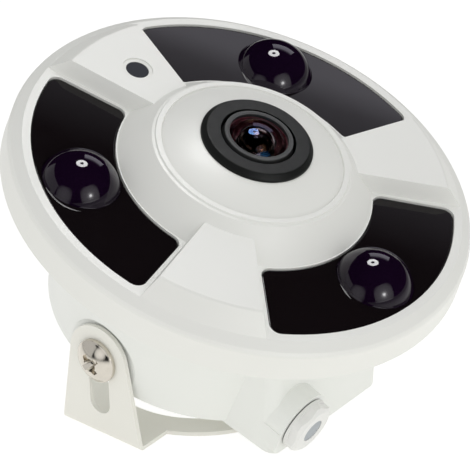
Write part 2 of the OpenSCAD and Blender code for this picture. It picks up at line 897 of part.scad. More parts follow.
// the barrel: threaded shank, wide head and a stepped bore for the glasses
module lens_barrel() {
    color("#2b2e30") on_head()
        rotate_extrude($fn = curve_fn)
            polygon([
                [barrel_low_bore_r, barrel_low_z],
                [thread_r, barrel_low_z],
                [thread_r, barrel_step_z],
                [barrel_r, barrel_step_z + barrel_r - thread_r],
                [barrel_r, barrel_top_z - barrel_bevel],
                [barrel_r - barrel_bevel, barrel_top_z],
                [glass_r + fit_gap + barrel_lip, barrel_top_z],
                [glass_r + fit_gap, barrel_top_z - barrel_lip],
                [glass_r + fit_gap, glass_seat_z - glass_t],
                [barrel_bore_r + barrel_step, glass_seat_z - glass_t],
                [barrel_bore_r, glass_seat_z - glass_t - 2 * barrel_step],
                [barrel_bore_r, rear_seat_z],
                [barrel_low_bore_r, rear_seat_z]]);
}

// the steep front glass, hollowed behind
module front_glass() {
    color("#20161c") on_head()
        rotate_extrude($fn = curve_fn)
            difference() {
                union() {
                    intersection() {
                        translate([0, glass_seat_z + glass_rise - glass_sphere_r])
                            circle(glass_sphere_r, $fn = curve_fn);
                        translate([0, glass_seat_z])
                            square([glass_r, glass_rise + past]);
                    }
                    translate([0, glass_seat_z - glass_t])
                        square([glass_r, glass_t]);
                }
                translate([0, glass_seat_z - glass_t - glass_hollow_r + glass_hollow_h])
                    circle(glass_hollow_r, $fn = curve_fn);
            }
}

module rear_glass() {
    color("#4a3a4a") on_head()
        translate([0, 0, rear_seat_z - rear_glass_t])
            cylinder(r = barrel_low_bore_r - shaft_gap, h = rear_glass_t, $fn = curve_fn);
}

module lens_holder() {
    tube_in = thread_r + holder_bore_gap;
    color("#1e2022") on_head() difference() {
        union() {
            translate([-holder_base_w / 2, -holder_base_w / 2, sensor_top_z])
                cube([holder_base_w, holder_base_w, holder_base_h]);
            translate([0, 0, sensor_top_z + holder_base_h / 2])
                cylinder(r = tube_in + holder_wall, h = holder_top_z - sensor_top_z - holder_base_h / 2,
                    $fn = curve_fn);
        }
        translate([0, 0, sensor_top_z - past])
            cylinder(r = tube_in, h = big, $fn = curve_fn);
    }
}

module image_sensor() {
    color("#3d5a6e") on_head() {
        translate([-sensor_w / 2, -sensor_w / 2, sensor_top_z])
            cube([sensor_w, sensor_w, sensor_h]);
        translate([-sensor_ledge_w / 2, -sensor_ledge_w / 2, sensor_top_z + sensor_h / 2])
            cube([sensor_ledge_w, sensor_ledge_w, sensor_h / 2 + sensor_ledge_h]);
    }
}

module sensor_board() {
    color("#1f4a34") on_head()
        difference() {
            translate([0, 0, sensor_board_z])
                cylinder(r = sensor_board_r, h = board_t, $fn = curve_fn);
            for (side = [-1, 1])
                translate([side > 0 ? sensor_board_half : -big, -big * half_share, sensor_board_z - past])
                    cube([big - sensor_board_half, big, board_t + 2 * past]);
        }
}

// the main board with its network jack, processor and coil
module main_board() {
    color("#24523a") on_head() difference() {
        union() {
            translate([0, 0, main_z])
                cylinder(r = main_board_r, h = board_t, $fn = curve_fn);
            translate([jack_x, -jack_w / 2, main_z + board_t / 2])
                cube([jack_l, jack_w, jack_h]);
            rotate([0, 0, chip_at])
                translate([main_board_r - chip_set - chip_w / 2, -chip_w / 2, main_z + board_t / 2])
                    cube([chip_w, chip_w, chip_h + board_t / 2]);
            rotate([0, 0, coil_at])
                translate([main_board_r - coil_set, 0, main_z + board_t / 2])
                    cylinder(r = coil_r, h = coil_h, $fn = fine_fn);
        }
        for (at = posts_at)
            rotate([0, 0, at + post_turn])
                translate([post_ring_r, 0, main_z - past])
                    cylinder(r = screw_hole_r, h = board_t + 2 * past, $fn = fine_fn);
    }
}

module board_spacer(at) {
    color("#c9b06a") on_head() rotate([0, 0, at])
        translate([spacer_ring_r, 0, main_top_z])
            cylinder(r = spacer_r, h = spacer_len, $fn = hex_fn);
}

module board_spacer_1() { board_spacer(thirds[0] + quarter); }
module board_spacer_2() { board_spacer(thirds[1] + quarter); }
module board_spacer_3() { board_spacer(thirds[2] + quarter); }

// a small pan-head screw, its head above zero and its shank below
module small_screw(shank) {
    difference() {
        union() {
            cylinder(r1 = small_head_r, r2 = small_head_r - small_head_draw, h = small_head_h, $fn = fine_fn);
            translate([0, 0, -shank])
                cylinder(r = small_shank_r, h = shank + bite, $fn = fine_fn);
        }
        for (turn = [0, quarter])
            rotate([0, 0, turn])
                translate([-small_head_r * half_share, -small_slot_w / 2, small_head_h - small_slot_depth])
                    cube([small_head_r, small_slot_w, small_slot_depth + past]);
    }
}

module board_screw(at) {
    color("#b9bcbc") on_head() rotate([0, 0, at + post_turn])
        translate([post_ring_r, 0, main_top_z])
            small_screw(board_shank_len);
}

module board_screw_1() { board_screw(posts_at[0]); }
module board_screw_2() { board_screw(posts_at[1]); }
module board_screw_3() { board_screw(posts_at[2]); }

module cover_screw(at) {
    color("#b9bcbc") on_head() rotate([0, 0, at])
        translate([cover_boss_ring_r, 0, flange_z + screw_head_recess])
            mirror([0, 0, 1])
                small_screw(cover_shank_len);
}

module cover_screw_1() { cover_screw(pads_at[0]); }
module cover_screw_2() { cover_screw(pads_at[1]); }
module cover_screw_3() { cover_screw(pads_at[2]); }

// outline of an arm, drawn upright with its foot at zero
module arm_plan() {
    top = pivot_h + arm_top_dz;
    r = arm_top_r - corner_proud;
    translate([0, top])
        circle(arm_top_r, $fn = curve_fn);
    polygon([
        [-arm_foot_half, bend_out_r],
        [arm_foot_half, bend_out_r],
        [r * cos(arm_lean), top + r * sin(arm_lean)],
        [-r * cos(arm_lean), top + r * sin(arm_lean)]]);
}

module slot_plan() {
    for (drop = [0, slot_travel])
        translate([0, pivot_h - drop])
            circle(slot_half, $fn = fine_fn);
    translate([-slot_half + corner_proud, pivot_h - slot_travel])
        square([2 * (slot_half - corner_proud), slot_travel]);
}

// one folded sheet: base ring, two tabs, two folds and two slotted arms
module bracket() {
    color("#e1e2dd") difference() {
        union() {
            linear_extrude(sheet_t)
                union() {
                    circle(base_r, $fn = curve_fn);
                    translate([-arm_foot_half, -arm_face_y + bend_out_r])
                        square([2 * arm_foot_half, 2 * (arm_face_y - bend_out_r)]);
                }
            for (side = [-1, 1]) {
                translate([side > 0 ? -arm_foot_half : arm_foot_half, side * (arm_face_y - bend_out_r), bend_out_r])
                    rotate([0, 0, side > 0 ? 0 : 2 * quarter])
                        rotate([quarter, 0, quarter])
                            rotate([0, 0, -quarter])
                                linear_extrude(2 * arm_foot_half)
                                    intersection() {
                                        difference() {
                                            circle(bend_out_r, $fn = fine_fn);
                                            circle(bend_in_r, $fn = fine_fn);
                                        }
                                        square(bend_out_r + past);
                                    }
                translate([0, side > 0 ? arm_face_y : -arm_in_y, 0])
                    rotate([quarter, 0, 0])
                        linear_extrude(sheet_t)
                            arm_plan();
            }
        }
        translate([0, 0, -past])
            cylinder(r = base_hole_r, h = sheet_t + 2 * past, $fn = curve_fn);
        for (at = mount_holes_at)
            rotate([0, 0, at])
                translate([mount_ring_r, 0, -past])
                    cylinder(r = mount_hole_r, h = sheet_t + 2 * past, $fn = fine_fn);
        translate([0, big * half_share, 0])
            rotate([quarter, 0, 0])
                linear_extrude(big)
                    slot_plan();
    }
}

// the tilt screw: domed head with a cross recess, shoulder and threaded shank
module tilt_screw(side) {
    color("#c9c4bd") on_head()
        translate([0, side * (arm_face_y + run_gap), pivot_z])
            rotate([-side * quarter, 0, 0])
                difference() {
                    rotate_extrude($fn = curve_fn) {
                        polygon([
                            [0, -(arm_face_y + run_gap - screw_tip_y)],
                            [tilt_shank_r, -(arm_face_y + run_gap - screw_tip_y)],
                            [tilt_shank_r, -(arm_face_y + run_gap - pocket_y - run_gap)],
                            [shoulder_r, -(arm_face_y + run_gap - pocket_y - run_gap)],
                            [shoulder_r, 0],
                            [screw_head_r - head_edge, 0],
                            [screw_head_r, head_edge],
                            [screw_head_r, head_rim_h - head_edge],
                            [head_top_r, head_rim_h],
                            [0, head_rim_h]]);
                        intersection() {
                            translate([0, head_h - head_sphere_r])
                                circle(head_sphere_r, $fn = curve_fn);
                            translate([0, head_rim_h - bite])
                                square([head_top_r, head_dome_h + past]);
                        }
                    }
                    rotate([0, 0, cross_turn]) {
                        for (turn = [0, quarter])
                            rotate([0, 0, turn])
                                translate([-cross_len / 2, -cross_w / 2, head_h - cross_depth])
                                    cube([cross_len, cross_w, cross_depth + past]);
                        translate([0, 0, head_h - cross_depth])
                            cylinder(r = cross_core_r, h = cross_depth + past, $fn = fine_fn);
                    }
                }
}

module tilt_screw_1() { tilt_screw(-1); }
module tilt_screw_2() { tilt_screw(1); }

module friction_washer(side) {
    color("#3b3d3e") on_head()
        difference() {
            side_bar(side, pocket_y + run_gap, pocket_y + run_gap + washer_t, washer_r);
            side_bar(side, pocket_y - past, pocket_y + washer_t + past, washer_hole_r);
        }
}

module friction_washer_1() { friction_washer(-1); }
module friction_washer_2() { friction_washer(1); }

// the blanking plug: stem, round collar and a six-sided head with a bevelled front
module outlet_plug() {
    head_x = outlet_reach + seal_t;
    color("#ebebe8") on_head()
        translate([head_x, -outlet_side, outlet_z])
            rotate([0, quarter, 0])
                difference() {
                    union() {
                        translate([0, 0, -plug_stem_len])
                            cylinder(r = plug_stem_r, h = plug_stem_len + bite, $fn = curve_fn);
                        cylinder(r = plug_r, h = plug_collar, $fn = curve_fn);
                        intersection() {
                            rotate([0, 0, plug_hex_turn])
                                cylinder(r = plug_r + plug_corner, h = plug_head_len, $fn = hex_fn);
                            cylinder(r1 = plug_r + plug_head_len, r2 = plug_r * plug_front_share,
                                h = plug_head_len, $fn = curve_fn);
                            cylinder(r = plug_r - run_gap, h = plug_head_len, $fn = curve_fn);
                        }
                    }
                    translate([0, 0, plug_head_len - vent_t - vent_sink])
                        cylinder(r = vent_r + vent_fit, h = vent_t + past, $fn = fine_fn);
                    translate([0, 0, -plug_stem_len - past])
                        cylinder(r = plug_stem_r - plug_stem_wall,
                            h = plug_stem_len + plug_hollow_in + past, $fn = curve_fn);
                }
}

module plug_seal() {
    color("#1d1f20") on_head()
        difference() {
            outlet_bar(outlet_reach, outlet_reach + seal_t, seal_out_r);
            outlet_bar(outlet_reach - past, outlet_reach + seal_t + past, seal_in_r);
        }
}

module plug_vent() {
    vent_x = outlet_reach + seal_t + plug_head_len - vent_t - vent_sink;
    color("#b9bfc6") on_head()
        outlet_bar(vent_x, vent_x + vent_t, vent_r);
}

bracket();
rear_housing();
front_cover();
cover_gasket();
window_1();
window_2();
window_3();
ir_lens_1();
ir_lens_2();
ir_lens_3();
ir_board_1();
ir_board_2();
ir_board_3();
ir_led_1();
ir_led_2();
ir_led_3();
sensor_window();
light_sensor();
lens_ring();
lens_barrel();
front_glass();
rear_glass();
lens_holder();
image_sensor();
sensor_board();
main_board();
board_spacer_1();
board_spacer_2();
board_spacer_3();
board_screw_1();
board_screw_2();
board_screw_3();
cover_screw_1();
cover_screw_2();
cover_screw_3();
tilt_screw_1();
tilt_screw_2();
friction_washer_1();
friction_washer_2();
outlet_plug();
plug_seal();
plug_vent();
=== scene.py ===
# %% [markdown]
# # A fisheye security camera
# This lesson dresses a imported CAD model: a white disc with three dark windows, a lamp dome in each,
# a fisheye lens in a raised hub, a round housing behind it and a folded sheet bracket.
# The CAD part gives the sizes and the places, and every finer piece stands where its node is.

# %% Load the frame
import json
import math

import bpy
from mathutils import Matrix, Vector


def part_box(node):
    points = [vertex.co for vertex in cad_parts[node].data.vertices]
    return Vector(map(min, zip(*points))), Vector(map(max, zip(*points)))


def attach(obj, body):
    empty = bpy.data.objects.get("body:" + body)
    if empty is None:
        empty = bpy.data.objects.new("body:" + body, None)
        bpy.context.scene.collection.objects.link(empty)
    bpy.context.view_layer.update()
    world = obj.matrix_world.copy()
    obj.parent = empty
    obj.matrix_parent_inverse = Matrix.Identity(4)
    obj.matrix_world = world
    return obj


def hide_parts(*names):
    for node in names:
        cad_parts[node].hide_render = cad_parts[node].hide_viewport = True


MM = 0.001
MICRON = 0.001 * MM
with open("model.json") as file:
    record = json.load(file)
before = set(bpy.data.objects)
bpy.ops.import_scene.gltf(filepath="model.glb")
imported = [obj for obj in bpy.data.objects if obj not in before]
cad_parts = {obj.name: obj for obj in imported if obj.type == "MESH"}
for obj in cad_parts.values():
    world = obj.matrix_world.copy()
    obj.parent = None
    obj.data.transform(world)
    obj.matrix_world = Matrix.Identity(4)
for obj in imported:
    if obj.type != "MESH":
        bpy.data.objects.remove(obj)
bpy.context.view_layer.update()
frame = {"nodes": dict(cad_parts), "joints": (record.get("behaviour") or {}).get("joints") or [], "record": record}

# %% [markdown]
# ## The camera
# The photograph was taken with a long lens from the right, about 30 degrees above the floor.
# Its place and its right and down directions were found by fitting the disc, the windows and the
# arm. The third direction follows from those two, and together they are the columns of its
# rotation, so it doesn't need a target object or a constraint.

# %% Camera
PHOTO_PLACE = Vector((0.51168, -0.5934, 0.50256))
PHOTO_RIGHT = Vector((0.77462, 0.6321, -0.02042))
PHOTO_DOWN = Vector((0.30243, -0.3986, -0.86578))
PHOTO_LENS_MM, SENSOR_MM = 215.96, 36
NEAREST, FARTHEST = 0.01, 50
camera_data = bpy.data.cameras.new("photo_camera")
camera_data.sensor_width = SENSOR_MM
camera_data.lens = PHOTO_LENS_MM
camera_data.clip_start, camera_data.clip_end = NEAREST, FARTHEST
camera = bpy.data.objects.new("photo_camera", camera_data)
bpy.context.scene.collection.objects.link(camera)
right = PHOTO_RIGHT.normalized()
up = (-PHOTO_DOWN + PHOTO_DOWN.dot(right) * right).normalized()
turn = Matrix((right, up, right.cross(up))).transposed().to_4x4()
camera.matrix_world = Matrix.Translation(PHOTO_PLACE) @ turn
bpy.context.scene.camera = camera
print("camera lens:", camera_data.lens, "mm")

# %% [markdown]
# ## Colours and nodes
# Colours are picked as they look on a screen (sRGB hex) and Blender wants linear light, so one
# function converts them. Another adds a node with its settings and links, which keeps every
# material below to a few lines.

# %% Colour and node helpers
def linear(hex_colour):
    """Turns #rrggbb into a linear RGBA colour."""
    parts = [int(hex_colour[i:i + 2], 16) / 255 for i in (1, 3, 5)]
    return [p / 12.92 if p <= 0.04045 else ((p + 0.055) / 1.055) ** 2.4 for p in parts] + [1]


def add_node(owner, kind, inputs=None, **settings):
    """Adds a node: settings are its properties, inputs are values or sockets to link."""
    tree = owner.node_tree
    node = tree.nodes.new(kind)
    for key, value in settings.items():
        setattr(node, key, value)
    for key, value in (inputs or {}).items():
        if isinstance(value, bpy.types.NodeSocket):
            tree.links.new(value, node.inputs[key])
        else:
            node.inputs[key].default_value = value
    return node


print("white in linear light:", linear("#FFFFFF"))

# %% [markdown]
# ## What every finish shares
# One function builds the base of every real surface here: a colour that drifts a little over some
# centimetres, a gloss that isn't the same everywhere, and a grain that the light catches. The
# sizes are given in millimetres and the grain's height in microns, so they can be checked against
# the real thing. The patterns read Object coordinates, so they stay on the piece.

# %% The base finish
# short names for the shader's sockets that some finishes set
SOCKETS = {"metal": "Metallic", "ior": "IOR", "clear": "Transmission Weight",
           "film_nm": "Thin Film Thickness", "film_ior": "Thin Film IOR",
           "specular": "Specular IOR Level"}
# the Mix node's sockets for colours: factor, first and second colour, and its result
MIX_FACTOR, MIX_A, MIX_B, MIX_RESULT = 0, 6, 7, 2
NOISE_LOW, NOISE_HIGH = 0.3, 0.7    # most of a noise's values lie between these
DRIFT_DETAIL, SMEAR_DETAIL, GRAIN_DETAIL = 3, 4, 2
SMEARS_PER_DRIFT = 4                # the gloss changes over a quarter of the colour's distance
finishes = {}


def noise(material, place, size_mm, detail):
    """Adds a noise whose features are that many millimetres wide, and returns its factor."""
    return add_node(material, "ShaderNodeTexNoise",
                    {"Vector": place, "Scale": 1 / (size_mm * MM), "Detail": detail}).outputs["Fac"]


def base_finish(name, colours, drift_mm, gloss, grain_mm, grain_um, **sockets):
    """Makes a material with colour drift, varying roughness and grain; sockets go on the shader."""
    material = bpy.data.materials.new(name)
    material.use_nodes = True
    shader = material.node_tree.nodes["Principled BSDF"]
    place = add_node(material, "ShaderNodeTexCoord").outputs["Object"]
    drift = noise(material, place, drift_mm, DRIFT_DETAIL)
    smear = noise(material, place, drift_mm / SMEARS_PER_DRIFT, SMEAR_DETAIL)
    grain = noise(material, place, grain_mm, GRAIN_DETAIL)
    tint = add_node(material, "ShaderNodeMix",
                    {MIX_FACTOR: drift, MIX_A: linear(colours[0]), MIX_B: linear(colours[1])},
                    data_type="RGBA")
    roughness = add_node(material, "ShaderNodeMapRange",
                         {"Value": smear, "From Min": NOISE_LOW, "From Max": NOISE_HIGH,
                          "To Min": gloss[0], "To Max": gloss[1]})
    bump = add_node(material, "ShaderNodeBump",
                    {"Height": grain, "Strength": 1, "Distance": grain_um * MICRON})
    links = material.node_tree.links
    links.new(tint.outputs[MIX_RESULT], shader.inputs["Base Color"])
    links.new(roughness.outputs["Result"], shader.inputs["Roughness"])
    links.new(bump.outputs["Normal"], shader.inputs["Normal"])
    for key, value in sockets.items():
        shader.inputs[SOCKETS[key]].default_value = value
    finishes[name] = material
    return material


print("shader sockets with a short name:", len(SOCKETS))

# %% [markdown]
# ## Painted metal
# The disc and the housing are die-cast aluminium and the bracket is folded steel sheet. All three
# wear the same satin white powder coat. Powder melts into a film with a very fine orange peel,
# which breaks every highlight softly, so the grain is about a millimetre wide and some microns
# high. The white leans a little to yellow-green, never to blue.

# %% Paints
# on the polished casting of the disc the film lies smoothest, so its highlights are the tightest
cover_paint = base_finish("powder_coat_on_cast_cover", ("#EFEFEB", "#EAEBE6"),
                          40, (0.36, 0.46), 0.9, 7)
# the deep cup is a rougher casting: a trace lighter, and its peel is a little wider
housing_paint = base_finish("powder_coat_on_cast_housing", ("#F1F2EF", "#ECEEEA"),
                            45, (0.38, 0.48), 1.0, 8)
# on the bent sheet the film is thickest, so its white is warmer and its peel the widest
bracket_paint = base_finish("powder_coat_on_steel_sheet", ("#F1F0E9", "#ECEBE4"),
                            30, (0.38, 0.5), 1.2, 9)
print("painted metals:", len(finishes))

# %% [markdown]
# ## Windows, domes and the ring
# The windows are a cast acrylic that looks black but lets infrared light through: a mirror-like
# face with hardly any waves in it. The domes are polished polycarbonate of a deep purple. The
# ring round the lens is spark-eroded ABS, and the lens barrel is black anodised aluminium.

# %% Dark plastics
# a black mirror: it shows the lamps sharply, over long and very low waves
window_acrylic = base_finish("infrared_acrylic_cast", ("#130E10", "#141012"),
                             25, (0.03, 0.06), 14, 3, ior=1.49, specular=0.28)
# half clear, so the dome glows purple inside its clean outer reflections
dome_plastic = base_finish("purple_polycarbonate_polished", ("#22102A", "#1A0922"),
                           12, (0.0, 0.02), 9, 1, ior=1.4, clear=0.5)
# the light sensor's small window: smoky blue-grey and glossy
cell_acrylic = base_finish("smoked_acrylic_disc", ("#2A2D33", "#24272C"),
                           5, (0.05, 0.1), 3, 1, ior=1.49)
# spark erosion leaves fine craters in the mould, so the black ring stays matt from every side
ring_plastic = base_finish("black_abs_spark_eroded", ("#101211", "#0E100F"),
                           9, (0.45, 0.55), 0.35, 12, specular=0.2)
# anodising keeps a dull metal sheen: a dark grey that is lighter than the ring beside it
barrel_metal = base_finish("black_anodised_aluminium_turned", ("#303131", "#2B2C2C"),
                           6, (0.36, 0.46), 0.3, 6, specular=0.35)
print("with the dark plastics and the barrel:", len(finishes))

# %% [markdown]
# ## The lens's glass
# The glasses are nearly clear, and a coating a tenth of a micron thick gives their reflections a colour. Round and
# behind them everything is black, so that no stray light gets in. Only the front glass's edge and back carry a
# maroon ring, which is a painted reflection of the coating's red glow.

# %% Glass and lacquer
# polished glass under a thin film, which tints its reflections blue; the red at its edge is a painted reflection,
# the maroon ring under it
lens_glass = base_finish("coated_optical_glass", ("#C4BABF", "#C0B8BE"),
                         8, (0.0, 0.005), 6, 0.2,
                         ior=1.62, clear=1.0, film_nm=128.0, film_ior=1.38)
# a slightly darker glass for the second element, so the funnel behind it stays dark
inner_glass = base_finish("coated_inner_lens_glass", ("#B8B0B4", "#B4AEB4"),
                          6, (0.0, 0.005), 5, 0.2,
                          ior=1.5, clear=1.0, film_nm=128.0, film_ior=1.38)
# painted reflection: a maroon ring on the glass's ground edge and back, standing in for the coating's red glow
# seen deep in the glass
painted_red_reflection = base_finish("lens_edge_maroon_painted_reflection", ("#7A3540", "#632A36"),
                           6, (0.25, 0.35), 0.6, 3)
# matt black paint, which leaves only the funnel's edges to be seen
cell_metal = base_finish("black_painted_lens_cell_ridged", ("#121113", "#161516"),
                         5, (0.5, 0.6), 0.3, 6, specular=0.1)
print("with the glasses:", len(finishes))

# %% [markdown]
# ## Small plastic and rubber parts
# The plug is plain white nylon with a grey vent in its middle. The lens holder, the washers and the
# seals are black, and only the plug's seal and a washer's edge are seen from outside.

# %% Small plastics and rubber
# glass fibres roughen moulded nylon: a dull black with a coarse grain
holder_plastic = base_finish("black_nylon_glass_filled", ("#17181A", "#1D1E20"),
                             7, (0.5, 0.65), 0.5, 15)
# plain moulded nylon: a neutral white, whiter than the paint round it
plug_plastic = base_finish("white_nylon_moulded", ("#EDEDEB", "#E8E8E6"),
                           12, (0.4, 0.5), 0.6, 6)
# sintered grains make the vent a flat, dusty blue-grey
vent_plastic = base_finish("grey_membrane_sintered", ("#B2B7BC", "#A9AFB5"),
                           4, (0.6, 0.75), 0.3, 20)
# a stamped nylon sheet: plain black with a faint rolled grain
washer_nylon = base_finish("black_nylon_stamped", ("#202022", "#262628"),
                           5, (0.5, 0.6), 0.4, 8)
# rubber hardly shines, so a seal reads as a dark line
seal_rubber = base_finish("nitrile_rubber_moulded", ("#1B1B1C", "#222223"),
                          6, (0.6, 0.75), 0.4, 12)
print("with the small plastics:", len(finishes))

# %% [markdown]
# ## Metals and electronics
# The tilt screws are nickel plated, so their white is a little warm. Brass spacers, zinc-plated
# screws, ceramic lamps and the boards sit inside, and are seen when the model is opened.

# %% Metals and boards
# bright plating over a rolled head: sharp reflections with a little spread
nickel = base_finish("nickel_plated_steel", ("#D8D2C8", "#CBC5BA"),
                     3, (0.1, 0.18), 0.8, 1, metal=1.0)
# zinc is a cooler grey, and duller than nickel
zinc = base_finish("zinc_plated_steel", ("#C4C6C8", "#B4B7BA"),
                   3, (0.25, 0.4), 0.4, 4, metal=1.0)
# turned brass: yellow, with a fine tool grain
brass = base_finish("turned_brass", ("#C9A65C", "#BC9850"),
                    3, (0.25, 0.38), 0.4, 4, metal=1.0)
# green mask over glass weave, which shows as a fine relief
board = base_finish("glass_epoxy_board_green", ("#1D5B36", "#17492B"),
                    5, (0.3, 0.45), 0.4, 10)
# moulded epoxy of chips and jack: a flat dark grey
board_parts = base_finish("board_parts_black_epoxy", ("#26282B", "#303236"),
                          4, (0.35, 0.55), 0.4, 8)
# fired ceramic: an ivory white with a soft gloss
ceramic = base_finish("lamp_ceramic_white", ("#E2E0D2", "#D8D5C4"),
                      3, (0.35, 0.5), 0.4, 5)
print("with the metals and the boards:", len(finishes))

# %% [markdown]
# ## Dressing the CAD pieces
# Every piece of the CAD part names its material slot, so one table from slots to finishes dresses
# them all. The finer pieces that come next take their finish when they are made.

# %% Finishes on the CAD pieces
slot_finish = {
    "bracket_paint": bracket_paint, "housing_paint": housing_paint, "cover_paint": cover_paint,
    "seal_rubber": seal_rubber, "window_acrylic": window_acrylic, "dome_acrylic": dome_plastic,
    "dark_acrylic": cell_acrylic, "circuit_board": board, "lamp_ceramic": ceramic,
    "board_parts": board_parts, "ring_plastic": ring_plastic, "barrel_black": barrel_metal,
    "lens_glass": lens_glass, "holder_plastic": holder_plastic, "spacer_brass": brass,
    "small_screw_steel": zinc, "tilt_screw_nickel": nickel, "washer_nylon": washer_nylon,
    "plug_plastic": plug_plastic, "vent_grey": vent_plastic,
}
for part in frame["record"]["subparts"]:
    shown = frame["nodes"][part["node"]]
    shown.data.materials.clear()
    shown.data.materials.append(slot_finish[part["material_slot"]])

# %% [markdown]
# ## Working on the tilted head
# The head leans 21.5 degrees on the bracket. Its pieces are easiest to build upright, with the
# lens pointing straight up and the cover's rim at height zero, and then leaned like the head. The
# pivot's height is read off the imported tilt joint. The lean is applied, so every object ends
# unturned.

# %% Head placement
HEAD_LEAN = math.radians(21.5)
RIM_ABOVE_PIVOT = 53.5 * MM
pivot_height = next(j["pos_m"][2] for j in frame["joints"] if j["name"] == "tilt")
onto_head = (Matrix.Translation((0, 0, pivot_height)) @ Matrix.Rotation(HEAD_LEAN, 4, "Y")
             @ Matrix.Translation((0, 0, RIM_ABOVE_PIVOT)))
from_head = onto_head.inverted()
print("pivot's height:", round(pivot_height / MM, 2), "mm")

# %% [markdown]
# ## Helpers for pieces
# Each piece starts as a primitive or a copied mesh, is shaped in edit mode, and is then finished
# the same way: shaded, leaned into its place, given its material and handed to the frame. The
# finishing helper also counts edges that don't join two faces, because a solid piece has none.

# %% Modelling helpers
def select_only(piece):
    """Makes the piece the only selected and the active object."""
    bpy.ops.object.select_all(action="DESELECT")
    piece.select_set(True)
    bpy.context.view_layer.objects.active = piece


def new_object(name, mesh):
    """Adds an object that shows this mesh."""
    piece = bpy.data.objects.new(name, mesh)
    bpy.context.scene.collection.objects.link(piece)
    return piece


def finish_piece(piece, finish, body, replaced=(), smooth_deg=40, placement=onto_head,
                 even=False):
    """Leaves edit mode, shades, leans the piece, applies its place and hands it to the frame.
    With even, large flat faces keep their own shading up to their rounded edges."""
    bpy.ops.object.mode_set(mode="OBJECT")
    select_only(piece)
    bpy.ops.object.shade_smooth_by_angle(angle=math.radians(smooth_deg))
    if even:
        weights = piece.modifiers.new("even_shading", "WEIGHTED_NORMAL")
        weights.keep_sharp = True
        bpy.ops.object.modifier_apply(modifier=weights.name)
    piece.matrix_world = placement @ piece.matrix_world
    bpy.ops.object.transform_apply(location=True, rotation=True, scale=True)
    piece.data.materials.clear()
    piece.data.materials.append(finish)
    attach(piece, body)
    if replaced:
        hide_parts(*replaced)
    uses = {}
    for face in piece.data.polygons:
        for key in face.edge_keys:
            uses[key] = uses.get(key, 0) + 1
    open_edges = sum(count != 2 for count in uses.values())
    print(piece.name, "faces:", len(piece.data.polygons), "open edges:", open_edges)


# %% [markdown]
# ## Flat faces beside rounded edges
# Smooth shading averages the faces that meet at a point, which would bend a flat window's
# reflections near its rounded edge. So the edges round the flat face are marked sharp.

# %% A helper for flat faces
SAME_HEIGHT = 0.02 * MM
FACES_UP = 0.9999


def mark_flat_face(piece, height):
    """Marks the edges round the flat face at that height sharp, so it is shaded as one plane."""
    flat = {tuple(sorted(key)) for face in piece.data.polygons
            if face.normal.z > FACES_UP and abs(face.center.z - height) < SAME_HEIGHT
            for key in face.edge_keys}
    other = {tuple(sorted(key)) for face in piece.data.polygons
             if face.normal.z <= FACES_UP for key in face.edge_keys}
    for edge in piece.data.edges:
        edge.use_edge_sharp = tuple(sorted(edge.vertices)) in flat & other


print("a flat face's points lie within", SAME_HEIGHT / MM, "mm of its height")

# %% [markdown]
# ## The window panes
# Each window is a cast acrylic plate let into the cover. The real plate has a polished, rounded
# upper edge, which draws one fine bright line all round. The CAD plate has the right outline, so
# a copy of it is merged, its flat faces are dissolved, and the upper outline is bevelled.

# %% Window panes
THIRDS = (0, 120, 240)
PANE_FACE_Z = 1.97 * MM        # the plate's face above the rim, in the head's own frame
EDGE_ROUND, EDGE_STEPS = 0.4 * MM, 4
DOME_RING_R = 54.6 * MM        # the dome holes' distance from the disc's axis
HOLE_CLEAR_R = 12.6 * MM       # just outside a dome hole's edge
FLAT_WITHIN = math.radians(0.5)
MERGE_WITHIN = MICRON
for number, third in enumerate(THIRDS, 1):
    pane = new_object("window_pane_%d" % number, frame["nodes"]["window_%d" % number].data.copy())
    pane.data.transform(from_head)
    select_only(pane)
    bpy.ops.object.mode_set(mode="EDIT")
    bpy.ops.mesh.select_all(action="SELECT")
    bpy.ops.mesh.remove_doubles(threshold=MERGE_WITHIN)
    bpy.ops.mesh.dissolve_limited(angle_limit=FLAT_WITHIN)
    bpy.ops.mesh.select_all(action="DESELECT")
    bpy.ops.object.mode_set(mode="OBJECT")
    centre = Matrix.Rotation(math.radians(third), 3, "Z") @ Vector((DOME_RING_R, 0, 0))
    rim_edges = 0
    for edge in pane.data.edges:
        ends = [pane.data.vertices[v].co for v in edge.vertices]
        on_face = all(abs(end.z - PANE_FACE_Z) < SAME_HEIGHT for end in ends)
        off_hole = all((Vector((end.x, end.y, 0)) - centre).length > HOLE_CLEAR_R for end in ends)
        edge.select = on_face and off_hole
        rim_edges += edge.select
    bpy.ops.object.mode_set(mode="EDIT")
    bpy.ops.mesh.select_mode(type="EDGE")
    bpy.ops.mesh.bevel(offset=EDGE_ROUND, segments=EDGE_STEPS, affect="EDGES", clamp_overlap=True)
    bpy.ops.object.mode_set(mode="OBJECT")
    mark_flat_face(pane, PANE_FACE_Z)
    finish_piece(pane, window_acrylic, "head", ["window_%d" % number],
                 smooth_deg=30)
    print("edges on the upper outline:", rim_edges)

# %% [markdown]
# ## Growing a piece from a ring
# A round piece can grow from one ring of edges: the ring is extruded along the axis and scaled to
# its next radius, again and again. The domes' feet are made so, and later every turned part. At
# the end doubled points are merged and all faces are turned outwards.

# %% Helpers for round pieces
def start(name):
    """Names the new primitive and enters edit mode, where edges are selected."""
    piece = bpy.context.object
    piece.name = piece.data.name = name
    bpy.ops.object.mode_set(mode="EDIT")
    bpy.ops.mesh.select_mode(type="EDGE")
    return piece


def extrude_ring(radius_from, radius_to, drop, height, axis=(0, 0)):
    """Extrudes the selected ring by drop, along Z, and scales it to its radius about the axis."""
    bpy.ops.mesh.extrude_edges_move(TRANSFORM_OT_translate={"value": (0, 0, drop)})
    share = radius_to / radius_from
    bpy.ops.transform.resize(value=(share, share, 1), center_override=(*axis, height + drop))


